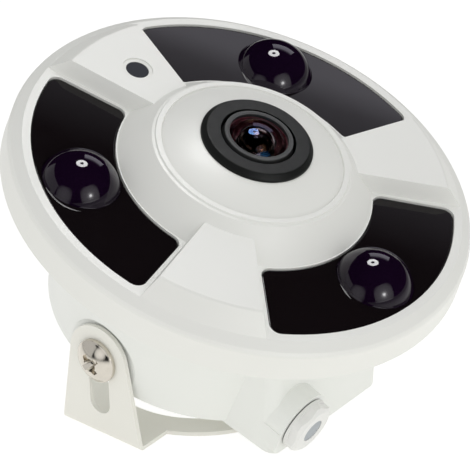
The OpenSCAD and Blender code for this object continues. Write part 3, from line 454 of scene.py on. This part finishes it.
def fix_normals():
    """Merges doubles and turns all faces outwards."""
    bpy.ops.mesh.select_all(action="SELECT")
    bpy.ops.mesh.remove_doubles(threshold=MERGE_WITHIN)
    bpy.ops.mesh.normals_make_consistent(inside=False)


print("points closer than", MERGE_WITHIN / MICRON, "micron are merged")

# %% [markdown]
# ## The lamp domes
# A dome is a polycarbonate cap over an infrared lamp. It starts as a ball with its pole on the
# dome's axis, which is cut at the window's face; the open edge is drawn out into a small foot
# and down into the window's hole, and Solidify gives the moulded wall.

# %% Lamp domes
DOME_FOOT_R, DOME_RISE, DOME_WALL = 12.3 * MM, 8.2 * MM, 1.8 * MM
FOOT_FLARE, FOOT_DEPTH = 0.12 * MM, 2.0 * MM
ROUND_STEPS, BALL_RINGS = 96, 64
DOME_BALL_R = (DOME_FOOT_R ** 2 + DOME_RISE ** 2) / (2 * DOME_RISE)
dome_axis = (DOME_RING_R, 0)
bpy.ops.object.select_all(action="DESELECT")
bpy.ops.mesh.primitive_uv_sphere_add(
    segments=ROUND_STEPS, ring_count=BALL_RINGS, radius=DOME_BALL_R,
    location=(*dome_axis, PANE_FACE_Z + DOME_RISE - DOME_BALL_R))
dome = start("lamp_dome_1")
bpy.ops.mesh.select_all(action="SELECT")
bpy.ops.mesh.bisect(plane_co=(*dome_axis, PANE_FACE_Z), plane_no=(0, 0, 1), clear_inner=True)
flare_r = DOME_FOOT_R + FOOT_FLARE
extrude_ring(DOME_FOOT_R, flare_r, -FOOT_FLARE, PANE_FACE_Z, dome_axis)
extrude_ring(flare_r, flare_r, -FOOT_DEPTH, PANE_FACE_Z - FOOT_FLARE, dome_axis)
fix_normals()
bpy.ops.object.mode_set(mode="OBJECT")
wall = dome.modifiers.new("wall", "SOLIDIFY")
wall.thickness = DOME_WALL
wall.offset = -1
bpy.ops.object.modifier_apply(modifier=wall.name)
domes = [dome]
for number, third in enumerate(THIRDS[1:], 2):
    twin = new_object("lamp_dome_%d" % number, dome.data.copy())
    twin.matrix_world = Matrix.Rotation(math.radians(third), 4, "Z") @ dome.matrix_world
    domes.append(twin)
for number, piece in enumerate(domes, 1):
    finish_piece(piece, dome_plastic, "head", ["ir_lens_%d" % number],
                 smooth_deg=50)

# %% [markdown]
# ## Turned parts
# Barrels, lens elements and screws are turned shapes: one outline goes round an axis. Here a ring
# of vertices starts at the outline's first point and is extruded and scaled from point to point.
# Where the outline comes back to its first point the two rings merge and the part is closed. An
# outline that starts and ends next to the axis gets a small face at each end instead.

# %% A helper for turned parts
POLE_R = 0.05 * MM        # where a ball-shaped outline stops short of the axis


def turned(name, outline, steps=ROUND_STEPS):
    """Turns an outline of (radius, height) pairs about the Z axis, and closes it."""
    bpy.ops.object.select_all(action="DESELECT")
    bpy.ops.mesh.primitive_circle_add(vertices=steps, radius=outline[0][0],
                                      location=(0, 0, outline[0][1]))
    piece = start(name)
    bpy.ops.mesh.select_all(action="SELECT")
    for (r_from, z_from), (r_to, z_to) in zip(outline, outline[1:]):
        extrude_ring(r_from, r_to, z_to - z_from, z_from)
    fix_normals()
    if outline[0] != outline[-1]:
        bpy.ops.mesh.select_all(action="SELECT")
        bpy.ops.mesh.fill_holes(sides=0)
        fix_normals()
    return piece


def arc(ball_r, centre_z, r_from, r_to, steps):
    """Points of a ball's outline above its centre, between two radii."""
    first, last = (math.asin(min(1, r / ball_r)) for r in (r_from, r_to))
    angles = [first + (last - first) * k / steps for k in range(steps + 1)]
    return [(ball_r * math.sin(angle), centre_z + ball_r * math.cos(angle)) for angle in angles]


def centre_below(seat_z, ball_r, edge_r):
    """Height of a ball's centre, when its cap has that radius at the seat."""
    return seat_z - math.sqrt(ball_r ** 2 - edge_r ** 2)


print("faces round a turned part:", ROUND_STEPS)

# %% [markdown]
# ## The ring round the lens
# The moulded ring has a flat face, a wide bevel with rounded corners and a sleeve that goes down
# into the hub. A thin lip at its face narrows the hole, so only a fine dark gap is left round the
# barrel. Its two heights are read off the CAD ring.

# %% Lens ring
RING_STEPS = 128
RING_R, RING_RISE, RING_BEVEL, RING_ROUND = 18.0 * MM, 2.35 * MM, 1.5 * MM, 0.3 * MM
SLEEVE_R, RING_HOLE_R = 15.3 * MM, 12.5 * MM
LIP_R, LIP_T, LIP_SLOPE, LIP_ROUND = 12.05 * MM, 1.1 * MM, 0.4 * MM, 0.2 * MM
CORNER_SINK = 0.02 * MM        # how far a rounded corner's middle point lies past the bevel's end
CORNER_INSET = 0.06 * MM       # and how far inside the face beside it
heights = [(from_head @ vertex.co).z for vertex in frame["nodes"]["lens_ring"].data.vertices]
ring_low, ring_face = min(heights), max(heights)
ring_seat, bevel_z, bevel_r = ring_face - RING_RISE, ring_face - RING_BEVEL, RING_R - RING_BEVEL
corner = RING_ROUND * math.sqrt(0.5)
outline = [(RING_HOLE_R, ring_low), (SLEEVE_R, ring_low), (SLEEVE_R, ring_seat),
           (RING_R, ring_seat), (RING_R, bevel_z - RING_ROUND),
           (RING_R - CORNER_INSET, bevel_z - CORNER_SINK),
           (RING_R - corner, bevel_z + corner), (bevel_r + corner, ring_face - corner),
           (bevel_r + CORNER_SINK, ring_face - CORNER_INSET), (bevel_r - RING_ROUND, ring_face),
           (LIP_R + LIP_ROUND, ring_face), (LIP_R + CORNER_INSET, ring_face - CORNER_INSET),
           (LIP_R, ring_face - LIP_ROUND), (LIP_R, ring_face - LIP_T),
           (RING_HOLE_R, ring_face - LIP_T - LIP_SLOPE), (RING_HOLE_R, ring_low)]
lens_ring = turned("lens_ring_moulded", outline, RING_STEPS)
finish_piece(lens_ring, ring_plastic, "head", ["lens_ring"], even=True)
print("ring's face above the rim:", round(ring_face / MM, 2), "mm")

# %% [markdown]
# ## The lens barrel
# The barrel is turned from aluminium and anodised black. Its flat front face carries one fine
# turned groove, and its outer edge is cut back, so a dark gap shows between it and the ring. Its
# lower part has the thread by which the lens was focused in the factory.

# %% Lens barrel
BARREL_TOP, BARREL_R = 18.4 * MM, 11.5 * MM
BARREL_FACE_R, FACE_CHAMFER, CUT_BACK_END = 10.9 * MM, 0.2 * MM, 16.6 * MM
GROOVE_R, GROOVE_HALF_W, GROOVE_DEPTH = 9.98 * MM, 0.05 * MM, 0.08 * MM
SEAT_R, SEAT_Z, SEAT_CHAMFER = 9.45 * MM, 14.3 * MM, 0.1 * MM
BORE_R, REAR_BORE_R, REAR_SEAT_Z, BARREL_LOW = 6.4 * MM, 7.2 * MM, 1.5 * MM, -13 * MM
HEAD_TAPER_Z, HEAD_LOW_Z = 16.1 * MM, 4.3 * MM
FOCUS_R, FOCUS_DEPTH, FOCUS_PITCH, FOCUS_TURNS = 10.2 * MM, 0.35 * MM, 1.0 * MM, 14
FOCUS_TOP, FOCUS_START = 3.0 * MM, 2.6 * MM
cut_back_r, root_r = BARREL_FACE_R + FACE_CHAMFER, FOCUS_R - FOCUS_DEPTH
outline = [(SEAT_R + SEAT_CHAMFER, BARREL_TOP), (GROOVE_R - GROOVE_HALF_W, BARREL_TOP),
           (GROOVE_R, BARREL_TOP - GROOVE_DEPTH), (GROOVE_R + GROOVE_HALF_W, BARREL_TOP),
           (BARREL_FACE_R, BARREL_TOP), (cut_back_r, BARREL_TOP - FACE_CHAMFER),
           (cut_back_r, CUT_BACK_END), (BARREL_R, HEAD_TAPER_Z), (BARREL_R, HEAD_LOW_Z),
           (FOCUS_R, FOCUS_TOP)]
for turn_number in range(FOCUS_TURNS):
    crest = FOCUS_START - turn_number * FOCUS_PITCH
    outline += [(FOCUS_R, crest), (root_r, crest - FOCUS_PITCH / 2)]
outline += [(root_r, BARREL_LOW), (REAR_BORE_R, BARREL_LOW), (REAR_BORE_R, REAR_SEAT_Z),
            (BORE_R, REAR_SEAT_Z), (BORE_R, SEAT_Z), (SEAT_R, SEAT_Z),
            (SEAT_R, BARREL_TOP - SEAT_CHAMFER), outline[0]]
barrel = turned("lens_barrel_turned", outline)
finish_piece(barrel, barrel_metal, "head", ["lens_barrel"], smooth_deg=25)

# %% [markdown]
# ## Inside the lens
# A fisheye lens shows a black stepped funnel behind its steep front glass, with a thin retaining
# ring, a second smaller element and the dark pupil. The steps trap stray light. The ring's edge is
# what draws the fine inner circle in the photograph.

# %% Lens cell
CELL_R, CELL_LOW, CELL_EDGE_Z = 6.1 * MM, 7.6 * MM, 14.9 * MM
RETAINER_R, RETAINER_W, RETAINER_TOP, RETAINER_CHAMFER = 5.95 * MM, 0.2 * MM, 15.15 * MM, 0.15 * MM
FUNNEL_R, FUNNEL_TOP, FUNNEL_STEPS = 5.65 * MM, 14.4 * MM, 12
STEP_IN, STEP_DOWN = 0.3 * MM, 0.5 * MM
outline = [(CELL_R, CELL_EDGE_Z), (RETAINER_R, RETAINER_TOP),
           (RETAINER_R - RETAINER_W, RETAINER_TOP), (FUNNEL_R, RETAINER_TOP - RETAINER_CHAMFER),
           (FUNNEL_R, FUNNEL_TOP)]
step_r, step_z = FUNNEL_R - STEP_IN, FUNNEL_TOP
for _ in range(FUNNEL_STEPS):
    outline += [(step_r, step_z), (step_r, step_z - STEP_DOWN)]
    step_r, step_z = step_r - STEP_IN, step_z - STEP_DOWN
outline += [(step_r, step_z), (step_r, CELL_LOW), (CELL_R, CELL_LOW), outline[0]]
cell = turned("lens_cell_ridged", outline)
finish_piece(cell, cell_metal, "head", smooth_deg=25)

# %% [markdown]
# The second element is a steep little dome on the funnel's mouth, hollow behind. The front glass's ground edge and
# back carry a maroon ring, seen through the glass: a painted reflection of the coating's red glow.

# %% Second element and lacquer
ELEMENT_R, ELEMENT_BALL, ELEMENT_SEAT, ELEMENT_EDGE = 5.2 * MM, 6.2 * MM, 14.6 * MM, 0.1 * MM
ELEMENT_HOLLOW_R, ELEMENT_HOLLOW_BALL = 4.2 * MM, 5.2 * MM
CAP_STEPS, HOLLOW_STEPS = 16, 14
element_back = ELEMENT_SEAT - ELEMENT_EDGE
outline = arc(ELEMENT_BALL, centre_below(ELEMENT_SEAT, ELEMENT_BALL, ELEMENT_R),
              POLE_R, ELEMENT_R, CAP_STEPS) + [(ELEMENT_R, element_back)]
outline += arc(ELEMENT_HOLLOW_BALL,
               centre_below(element_back, ELEMENT_HOLLOW_BALL, ELEMENT_HOLLOW_R),
               ELEMENT_HOLLOW_R, POLE_R, HOLLOW_STEPS)
element = turned("second_lens_element", outline)
finish_piece(element, inner_glass, "head", smooth_deg=50)

# the ring on the front glass's edge and back: its maroon is a painted reflection of the coating's red glow
PAINTED_RING_IN, PAINTED_RING_OUT, PAINTED_RING_T = 6.5 * MM, 9.42 * MM, 0.12 * MM
PAINTED_RING_FLOOR, PAINTED_RING_BACK, PAINTED_RING_TOP = 14.35 * MM, 14.7 * MM, 17.2 * MM
outline = [(PAINTED_RING_IN, PAINTED_RING_FLOOR), (PAINTED_RING_IN, PAINTED_RING_BACK), (PAINTED_RING_OUT - PAINTED_RING_T, PAINTED_RING_BACK),
           (PAINTED_RING_OUT - PAINTED_RING_T, PAINTED_RING_TOP), (PAINTED_RING_OUT, PAINTED_RING_TOP), (PAINTED_RING_OUT, PAINTED_RING_FLOOR),
           (PAINTED_RING_IN, PAINTED_RING_FLOOR)]
painted_red_ring = turned("front_glass_edge_painted_reflection", outline)
finish_piece(painted_red_ring, painted_red_reflection, "head", smooth_deg=30)

# %% [markdown]
# ## The front glass
# The front element is a deep meniscus of optical glass: a ball-shaped cap outside and a smaller ball-shaped hollow
# behind it. A coating a tenth of a micron thick tints its reflections blue and violet. The dark red glow at the
# glass's edge is a painted reflection: the maroon ring under the glass.

# %% Front glass
GLASS_R, GLASS_BALL, GLASS_EDGE, GLASS_BACK = 9.25 * MM, 12.36 * MM, 17.0 * MM, 14.8 * MM
HOLLOW_BALL, HOLLOW_R = 7.2 * MM, 6.45 * MM
FRONT_STEPS, BACK_STEPS = 24, 20
outline = arc(GLASS_BALL, centre_below(GLASS_EDGE, GLASS_BALL, GLASS_R),
              POLE_R, GLASS_R, FRONT_STEPS) + [(GLASS_R, GLASS_BACK)]
outline += arc(HOLLOW_BALL, centre_below(GLASS_BACK, HOLLOW_BALL, HOLLOW_R),
               HOLLOW_R, POLE_R, BACK_STEPS)
front = turned("front_lens_element", outline)
finish_piece(front, lens_glass, "head", ["front_glass"], smooth_deg=50)

# %% [markdown]
# ## The tilt screws
# Each tilt screw is a big nickel-plated pan head with a cross recess. The head is turned, with its
# shoulder, shank and thread in the same outline. The shank's length is read off the CAD screw.

# %% Tilt screws
HEAD_R, HEAD_RIM, HEAD_TOP = 7.4 * MM, 1.5 * MM, 4.39 * MM
DOME_INSET, RIM_ROUND, RIM_LOW, HEAD_CHAMFER = 0.35 * MM, 0.1 * MM, 0.35 * MM, 0.3 * MM
SHOULDER_R, SHOULDER_LEN, SHANK_R = 4.0 * MM, 3.4 * MM, 2.9 * MM
THREAD_PITCH, THREAD_DEPTH, THREAD_START = 1.0 * MM, 0.45 * MM, 0.3 * MM
SCREW_FACE_Y = 49.5975 * MM        # the arms' outer faces, which the heads sit on
HEAD_STEPS = 20
dome_rise, dome_r = HEAD_TOP - HEAD_RIM, HEAD_R - DOME_INSET
dome_ball = (dome_r ** 2 + dome_rise ** 2) / (2 * dome_rise)
shank_len = SCREW_FACE_Y + max(corner[1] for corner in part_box("tilt_screw_1"))
root_r = SHANK_R - THREAD_DEPTH
outline = arc(dome_ball, HEAD_TOP - dome_ball, POLE_R, dome_r, HEAD_STEPS)
outline += [(HEAD_R - RIM_ROUND, HEAD_RIM - RIM_ROUND), (HEAD_R, HEAD_RIM - RIM_LOW),
            (HEAD_R, HEAD_CHAMFER), (HEAD_R - HEAD_CHAMFER, 0.0), (SHOULDER_R, 0.0),
            (SHOULDER_R, -SHOULDER_LEN), (SHANK_R, -SHOULDER_LEN)]
thread_turns = int((shank_len - SHOULDER_LEN) / THREAD_PITCH) - 1
for turn_number in range(thread_turns):
    crest = -SHOULDER_LEN - THREAD_START - turn_number * THREAD_PITCH
    outline += [(SHANK_R, crest), (root_r, crest - THREAD_PITCH / 2)]
outline += [(root_r, -shank_len)]
screw = turned("tilt_screw_left", outline)
bpy.ops.object.mode_set(mode="OBJECT")
print("screw's shank:", round(shank_len / MM, 2), "mm, thread turns:", thread_turns)

# %% [markdown]
# The cross recess is cut with two tapered blades and a cone, as its punch would press it: deep in
# the middle and rising towards the four tips.

# %% Cross recess
BLADE_LEN, BLADE_W, BLADE_DEPTH, BLADE_TURN_DEG = 5.2 * MM, 2.1 * MM, 3.4 * MM, 60.5
BLADE_ABOVE = 0.4 * MM                 # how far the blades stand out of the head
TIP_LEN_SHARE, TIP_W_SHARE = 0.06, 0.6    # a blade's lower end, as shares of its upper end
CORE_TOP_R, CORE_LOW_R, CORE_STEPS = 2.7 * MM, 1.0 * MM, 32
FACES_DOWN = -0.9
blade_top = HEAD_TOP + BLADE_ABOVE
blade_middle = (0, 0, blade_top - BLADE_DEPTH / 2)


def cut_with(blade):
    """Cuts the screw with a blade by an applied Boolean, and removes the blade."""
    cut = screw.modifiers.new("cut", "BOOLEAN")
    cut.operation, cut.solver, cut.object = "DIFFERENCE", "EXACT", blade
    select_only(screw)
    bpy.ops.object.modifier_apply(modifier=cut.name)
    bpy.data.objects.remove(blade)


for turn_deg in (BLADE_TURN_DEG, BLADE_TURN_DEG + 90):
    bpy.ops.object.select_all(action="DESELECT")
    bpy.ops.mesh.primitive_cube_add(size=1, location=blade_middle)
    blade = start("recess_blade")
    bpy.ops.mesh.select_all(action="SELECT")
    bpy.ops.transform.resize(value=(2 * BLADE_LEN, BLADE_W, BLADE_DEPTH),
                             center_override=blade_middle)
    bpy.ops.mesh.select_all(action="DESELECT")
    bpy.ops.object.mode_set(mode="OBJECT")
    for face in blade.data.polygons:
        face.select = face.normal.z < FACES_DOWN
    bpy.ops.object.mode_set(mode="EDIT")
    bpy.ops.mesh.select_mode(type="FACE")
    bpy.ops.transform.resize(value=(TIP_LEN_SHARE, TIP_W_SHARE, 1),
                             center_override=(0, 0, blade_top - BLADE_DEPTH))
    bpy.ops.object.mode_set(mode="OBJECT")
    blade.rotation_euler.z = math.radians(turn_deg)
    cut_with(blade)
bpy.ops.object.select_all(action="DESELECT")
bpy.ops.mesh.primitive_cone_add(vertices=CORE_STEPS, radius1=CORE_LOW_R, radius2=CORE_TOP_R,
                                depth=BLADE_DEPTH, location=blade_middle)
cut_with(bpy.context.object)
print("faces of the cut screw:", len(screw.data.polygons))

# %% [markdown]
# The screw is modelled once, standing up, and laid onto both arms: a copy keeps the first one's
# place, and each is then turned a quarter about X, to its own side.

# %% Both screws
right_screw = new_object("tilt_screw_right", screw.data.copy())
right_screw.matrix_world = screw.matrix_world.copy()
for piece, side, number, body in ((screw, -1, 1, "screw_left"), (right_screw, 1, 2, "screw_right")):
    laid = (onto_head @ Matrix.Translation((0, side * SCREW_FACE_Y, -RIM_ABOVE_PIVOT))
            @ Matrix.Rotation(math.radians(-side * 90), 4, "X"))
    finish_piece(piece, nickel, body, ["tilt_screw_%d" % number],
                 smooth_deg=35, placement=laid, even=True)

# %% [markdown]
# ## The plug's gasket
# Between the plug's collar and the outlet there is a thin rubber ring. Only its rounded edge is
# seen, a little inside both rims, as a fine dark line.

# %% Plug gasket
OUTLET_FACE = (58.1975 * MM, -17.3986 * MM, -49.6 * MM)        # in the head's own frame
SEAL_T, SEAL_IN, SEAL_OUT, SEAL_EDGE = 0.4 * MM, 7.85 * MM, 8.75 * MM, 0.1 * MM
CREST_HALF = 0.06 * MM
outline = [(SEAL_IN, 0.0), (SEAL_OUT - SEAL_EDGE, 0.0), (SEAL_OUT, SEAL_T / 2 - CREST_HALF),
           (SEAL_OUT, SEAL_T / 2 + CREST_HALF), (SEAL_OUT - SEAL_EDGE, SEAL_T), (SEAL_IN, SEAL_T),
           (SEAL_IN, 0.0)]
gasket = turned("plug_gasket", outline)
to_outlet = (onto_head @ Matrix.Translation(OUTLET_FACE)
             @ Matrix.Rotation(math.radians(90), 4, "Y"))
finish_piece(gasket, seal_rubber, "plug", ["plug_seal"], placement=to_outlet)

# %% [markdown]
# ## The studio
# The object stands on plain white paper in soft light.

# %% Floor
FLOOR_SIZE = 6.0
bpy.ops.object.select_all(action="DESELECT")
bpy.ops.mesh.primitive_plane_add(size=FLOOR_SIZE, location=(0, 0, 0))
floor = bpy.context.object
floor.name = "studio_floor"
print("floor:", FLOOR_SIZE, "m wide")

# %% [markdown]
# What the camera, mirrors and glass see of the floor is lifted to paper white, and the object's
# shadow on it is still darker than the rest. What lights the object is the paper's own white and
# the glow of a light table under it. The Light Path node tells these cases apart.

# %% Floor paper
TABLE_LIGHT = 0.34             # the light table's own glow, which lifts the undersides
PAPER_LIFT = 0.76              # added to the shaded paper, where it is looked at
MIRROR_NEAR, MIRROR_FAR = 0.15, 0.6    # in mirrors the lift fades between these distances
paper = bpy.data.materials.new("floor_paper")
paper.use_nodes = True
paper.node_tree.nodes.clear()


def paper_math(operation, first, second):
    """Adds a Math node to the paper and returns its result."""
    return add_node(paper, "ShaderNodeMath", {0: first, 1: second}, operation=operation).outputs[0]


def paper_shader(kind, inputs):
    """Adds a shader node to the paper and returns its result."""
    return add_node(paper, "ShaderNode" + kind, inputs).outputs[0]


rays = add_node(paper, "ShaderNodeLightPath").outputs
seen = paper_math("MAXIMUM", rays["Is Camera Ray"], rays["Is Glossy Ray"])
seen = paper_math("MAXIMUM", seen, rays["Is Transmission Ray"])
bounce = paper_shader("BsdfDiffuse", {"Color": linear("#EDEDEA")})
table = paper_shader("Emission", {"Color": linear("#FFFDF8"), "Strength": TABLE_LIGHT})
bounce = paper_shader("AddShader", {0: bounce, 1: table})
shade = paper_shader("BsdfDiffuse", {"Color": linear("#AEAEAC")})
spot = add_node(paper, "ShaderNodeVectorMath",
                {0: add_node(paper, "ShaderNodeTexCoord").outputs["Object"]}, operation="LENGTH")
falloff = add_node(paper, "ShaderNodeMapRange",
                   {"Value": spot.outputs["Value"], "From Min": MIRROR_NEAR,
                    "From Max": MIRROR_FAR, "To Min": PAPER_LIFT, "To Max": 0.0})
bright = paper_math("MULTIPLY", rays["Is Camera Ray"], PAPER_LIFT)
bright = paper_math("MAXIMUM", bright, falloff.outputs["Result"])
glow = paper_shader("Emission", {"Color": (1, 1, 1, 1), "Strength": bright})
white = paper_shader("AddShader", {0: shade, 1: glow})
mixed = paper_shader("MixShader", {0: seen, 1: bounce, 2: white})
add_node(paper, "ShaderNodeOutputMaterial", {"Surface": mixed})
floor.data.materials.append(paper)
print("nodes in the paper:", len(paper.node_tree.nodes))

# %% [markdown]
# The light itself is that of a light tent, nearly the same from every side, so the world gives it.
# Mirrors and glass don't see the tent: they see the floor and the photographer's lamps, which
# keeps the flat black windows and the purple domes as dark as they are.

# %% World
WALL_TOP, CEILING_START = 0.2, 0.45    # heights on the unit sphere
WALL_LIGHT, CEILING_LIGHT = 0.865, 0.745
world = bpy.data.worlds.new("studio")
world.use_nodes = True
bpy.context.scene.world = world
sky = add_node(world, "ShaderNodeTexCoord").outputs["Generated"]
height = add_node(world, "ShaderNodeSeparateXYZ", {"Vector": sky}).outputs["Z"]
fade = add_node(world, "ShaderNodeMapRange",
                {"Value": height, "From Min": WALL_TOP, "From Max": CEILING_START,
                 "To Min": WALL_LIGHT, "To Max": CEILING_LIGHT})
background = world.node_tree.nodes["Background"]
world.node_tree.links.new(fade.outputs["Result"], background.inputs["Color"])
world.cycles_visibility.glossy = False
world.cycles_visibility.transmission = False
print("tent light, walls and ceiling:", WALL_LIGHT, CEILING_LIGHT)

# %% [markdown]
# ## Lamps that look like lamps
# A lamp is seen in the domes and the windows, so its face needs a shape: a bulb that shows through
# its cloth, or an edge that fades. A colour ramp over the face's own coordinates gives it that.

# %% A lamp's face
LAMP_MIDDLE = (0.5, 0.5, 0)        # the middle of a lamp's face, in its own coordinates


def shape_light(data, profile, upwards):
    """Makes the lamp's brightness follow the profile over its face."""
    data.use_nodes = True
    place = add_node(data, "ShaderNodeNewGeometry").outputs["Parametric"]
    if upwards:
        reach = add_node(data, "ShaderNodeSeparateXYZ", {"Vector": place}).outputs["Y"]
    else:
        shift = add_node(data, "ShaderNodeVectorMath", {0: place, 1: LAMP_MIDDLE},
                         operation="SUBTRACT")
        reach = add_node(data, "ShaderNodeVectorMath", {0: shift.outputs["Vector"]},
                         operation="LENGTH").outputs["Value"]
    ramp = add_node(data, "ShaderNodeValToRGB", {"Fac": reach})
    stops = ramp.color_ramp.elements
    while len(stops) < len(profile):
        stops.new(0.5)
    for stop, (position, share) in zip(stops, profile):
        stop.position = position
        stop.color = (share, share, share, 1)
    data.node_tree.links.new(ramp.outputs["Color"],
                             data.node_tree.nodes["Emission"].inputs["Color"])


print("the middle of a lamp's face:", LAMP_MIDDLE)

# %% [markdown]
# A lamp's power is its brightness times its area times pi, so a lamp is given by its brightness,
# with lit white paper as 1, and by the direction in which it stands.

# %% A helper for lamps
SUBJECT = Vector((0.02, 0.0, 0.06))


def lamp(name, towards, distance, size, brightness, size_y=None, profile=None, upwards=False,
         roll_deg=0):
    """Adds an area lamp that shines on the subject; brightness 1 looks like lit white paper.
    Without size_y it is a disc. A profile gives (distance from the centre, share of the
    brightness), where 0.5 is the lamp's edge. With upwards, the profile runs from the lamp's
    lower edge, 0, to its upper edge, 1."""
    data = bpy.data.lights.new(name, "AREA")
    data.shape = "RECTANGLE" if size_y else "DISK"
    data.size = size
    area = math.pi * size * size / 4
    if size_y:
        data.size_y = size_y
        area = size * size_y
    data.energy = brightness * area * math.pi
    if profile:
        shape_light(data, profile, upwards)
    holder = new_object(name, data)
    away = Vector(towards).normalized()
    holder.location = SUBJECT + away * distance
    holder.rotation_mode = "QUATERNION"
    roll = Matrix.Rotation(math.radians(roll_deg), 3, "Z").to_quaternion()
    holder.rotation_quaternion = away.to_track_quat("Z", "Y") @ roll
    holder.visible_camera = False
    print(name, "power:", round(data.energy, 2), "W")
    return holder


print("lamps aim at:", tuple(round(value, 3) for value in SUBJECT))

# %% [markdown]
# ## The lamps
# The domes show where the photographer's lamps stood: a bright ring lamp high above, a wide soft
# box low on the right, another on the left beside a white card, and a dim panel behind, which only
# the upper window mirrors. These five are only mirrored. The tent lights the paint, and one more
# soft lamp, which nothing mirrors, shades it a little from the right.

# %% Lamps
# a ring flash, a soft box with its bulb showing, one without, and a panel behind a blind
ring_profile = ((0.0, 0.02), (0.13, 0.02), (0.18, 1.0), (0.44, 1.0), (0.5, 0.3))
bulb_profile = ((0.0, 1.0), (0.04, 0.85), (0.1, 0.18), (0.2, 0.075), (0.45, 0.045), (0.62, 0.0))
soft_profile = ((0.0, 1.0), (0.35, 0.8), (0.62, 0.0))
edge_profile = ((0.0, 1.0), (0.665, 1.0), (0.72, 0.45), (0.91, 0.14), (1.0, 0.0))
overhead = lamp("lamp_overhead", (-0.1, 0.33, 0.94), distance=1.0, size=0.42,
                brightness=20, profile=ring_profile)
right_box = lamp("softbox_right", (0.94, -0.25, 0.24), distance=1.0, size=0.95, size_y=0.95,
                 brightness=22, profile=bulb_profile)
left_box = lamp("softbox_left", (0.05, -0.95, 0.3), distance=1.0, size=0.75, size_y=0.75,
                brightness=1.1, profile=soft_profile)
card = lamp("card_left", (-0.82, -0.52, 0.28), distance=1.2, size=1.6, size_y=1.0,
            brightness=0.65)
panel = lamp("panel_behind", (-0.163, 0.755, 0.635), distance=0.503, size=0.28, size_y=0.2,
             brightness=1.8, profile=edge_profile, upwards=True, roll_deg=26.6)
panel.data.color = (0.97, 0.95, 1.06)        # its blind has a faint violet cast
for holder in (overhead, right_box, left_box, card, panel):
    holder.visible_diffuse = False
shading = lamp("lamp_shading", (0.94, -0.25, 0.3), distance=1.2, size=0.9, size_y=0.9,
               brightness=0.31)
shading.visible_glossy = False

# %% Finish
bpy.context.scene.view_settings.view_transform = "Standard"
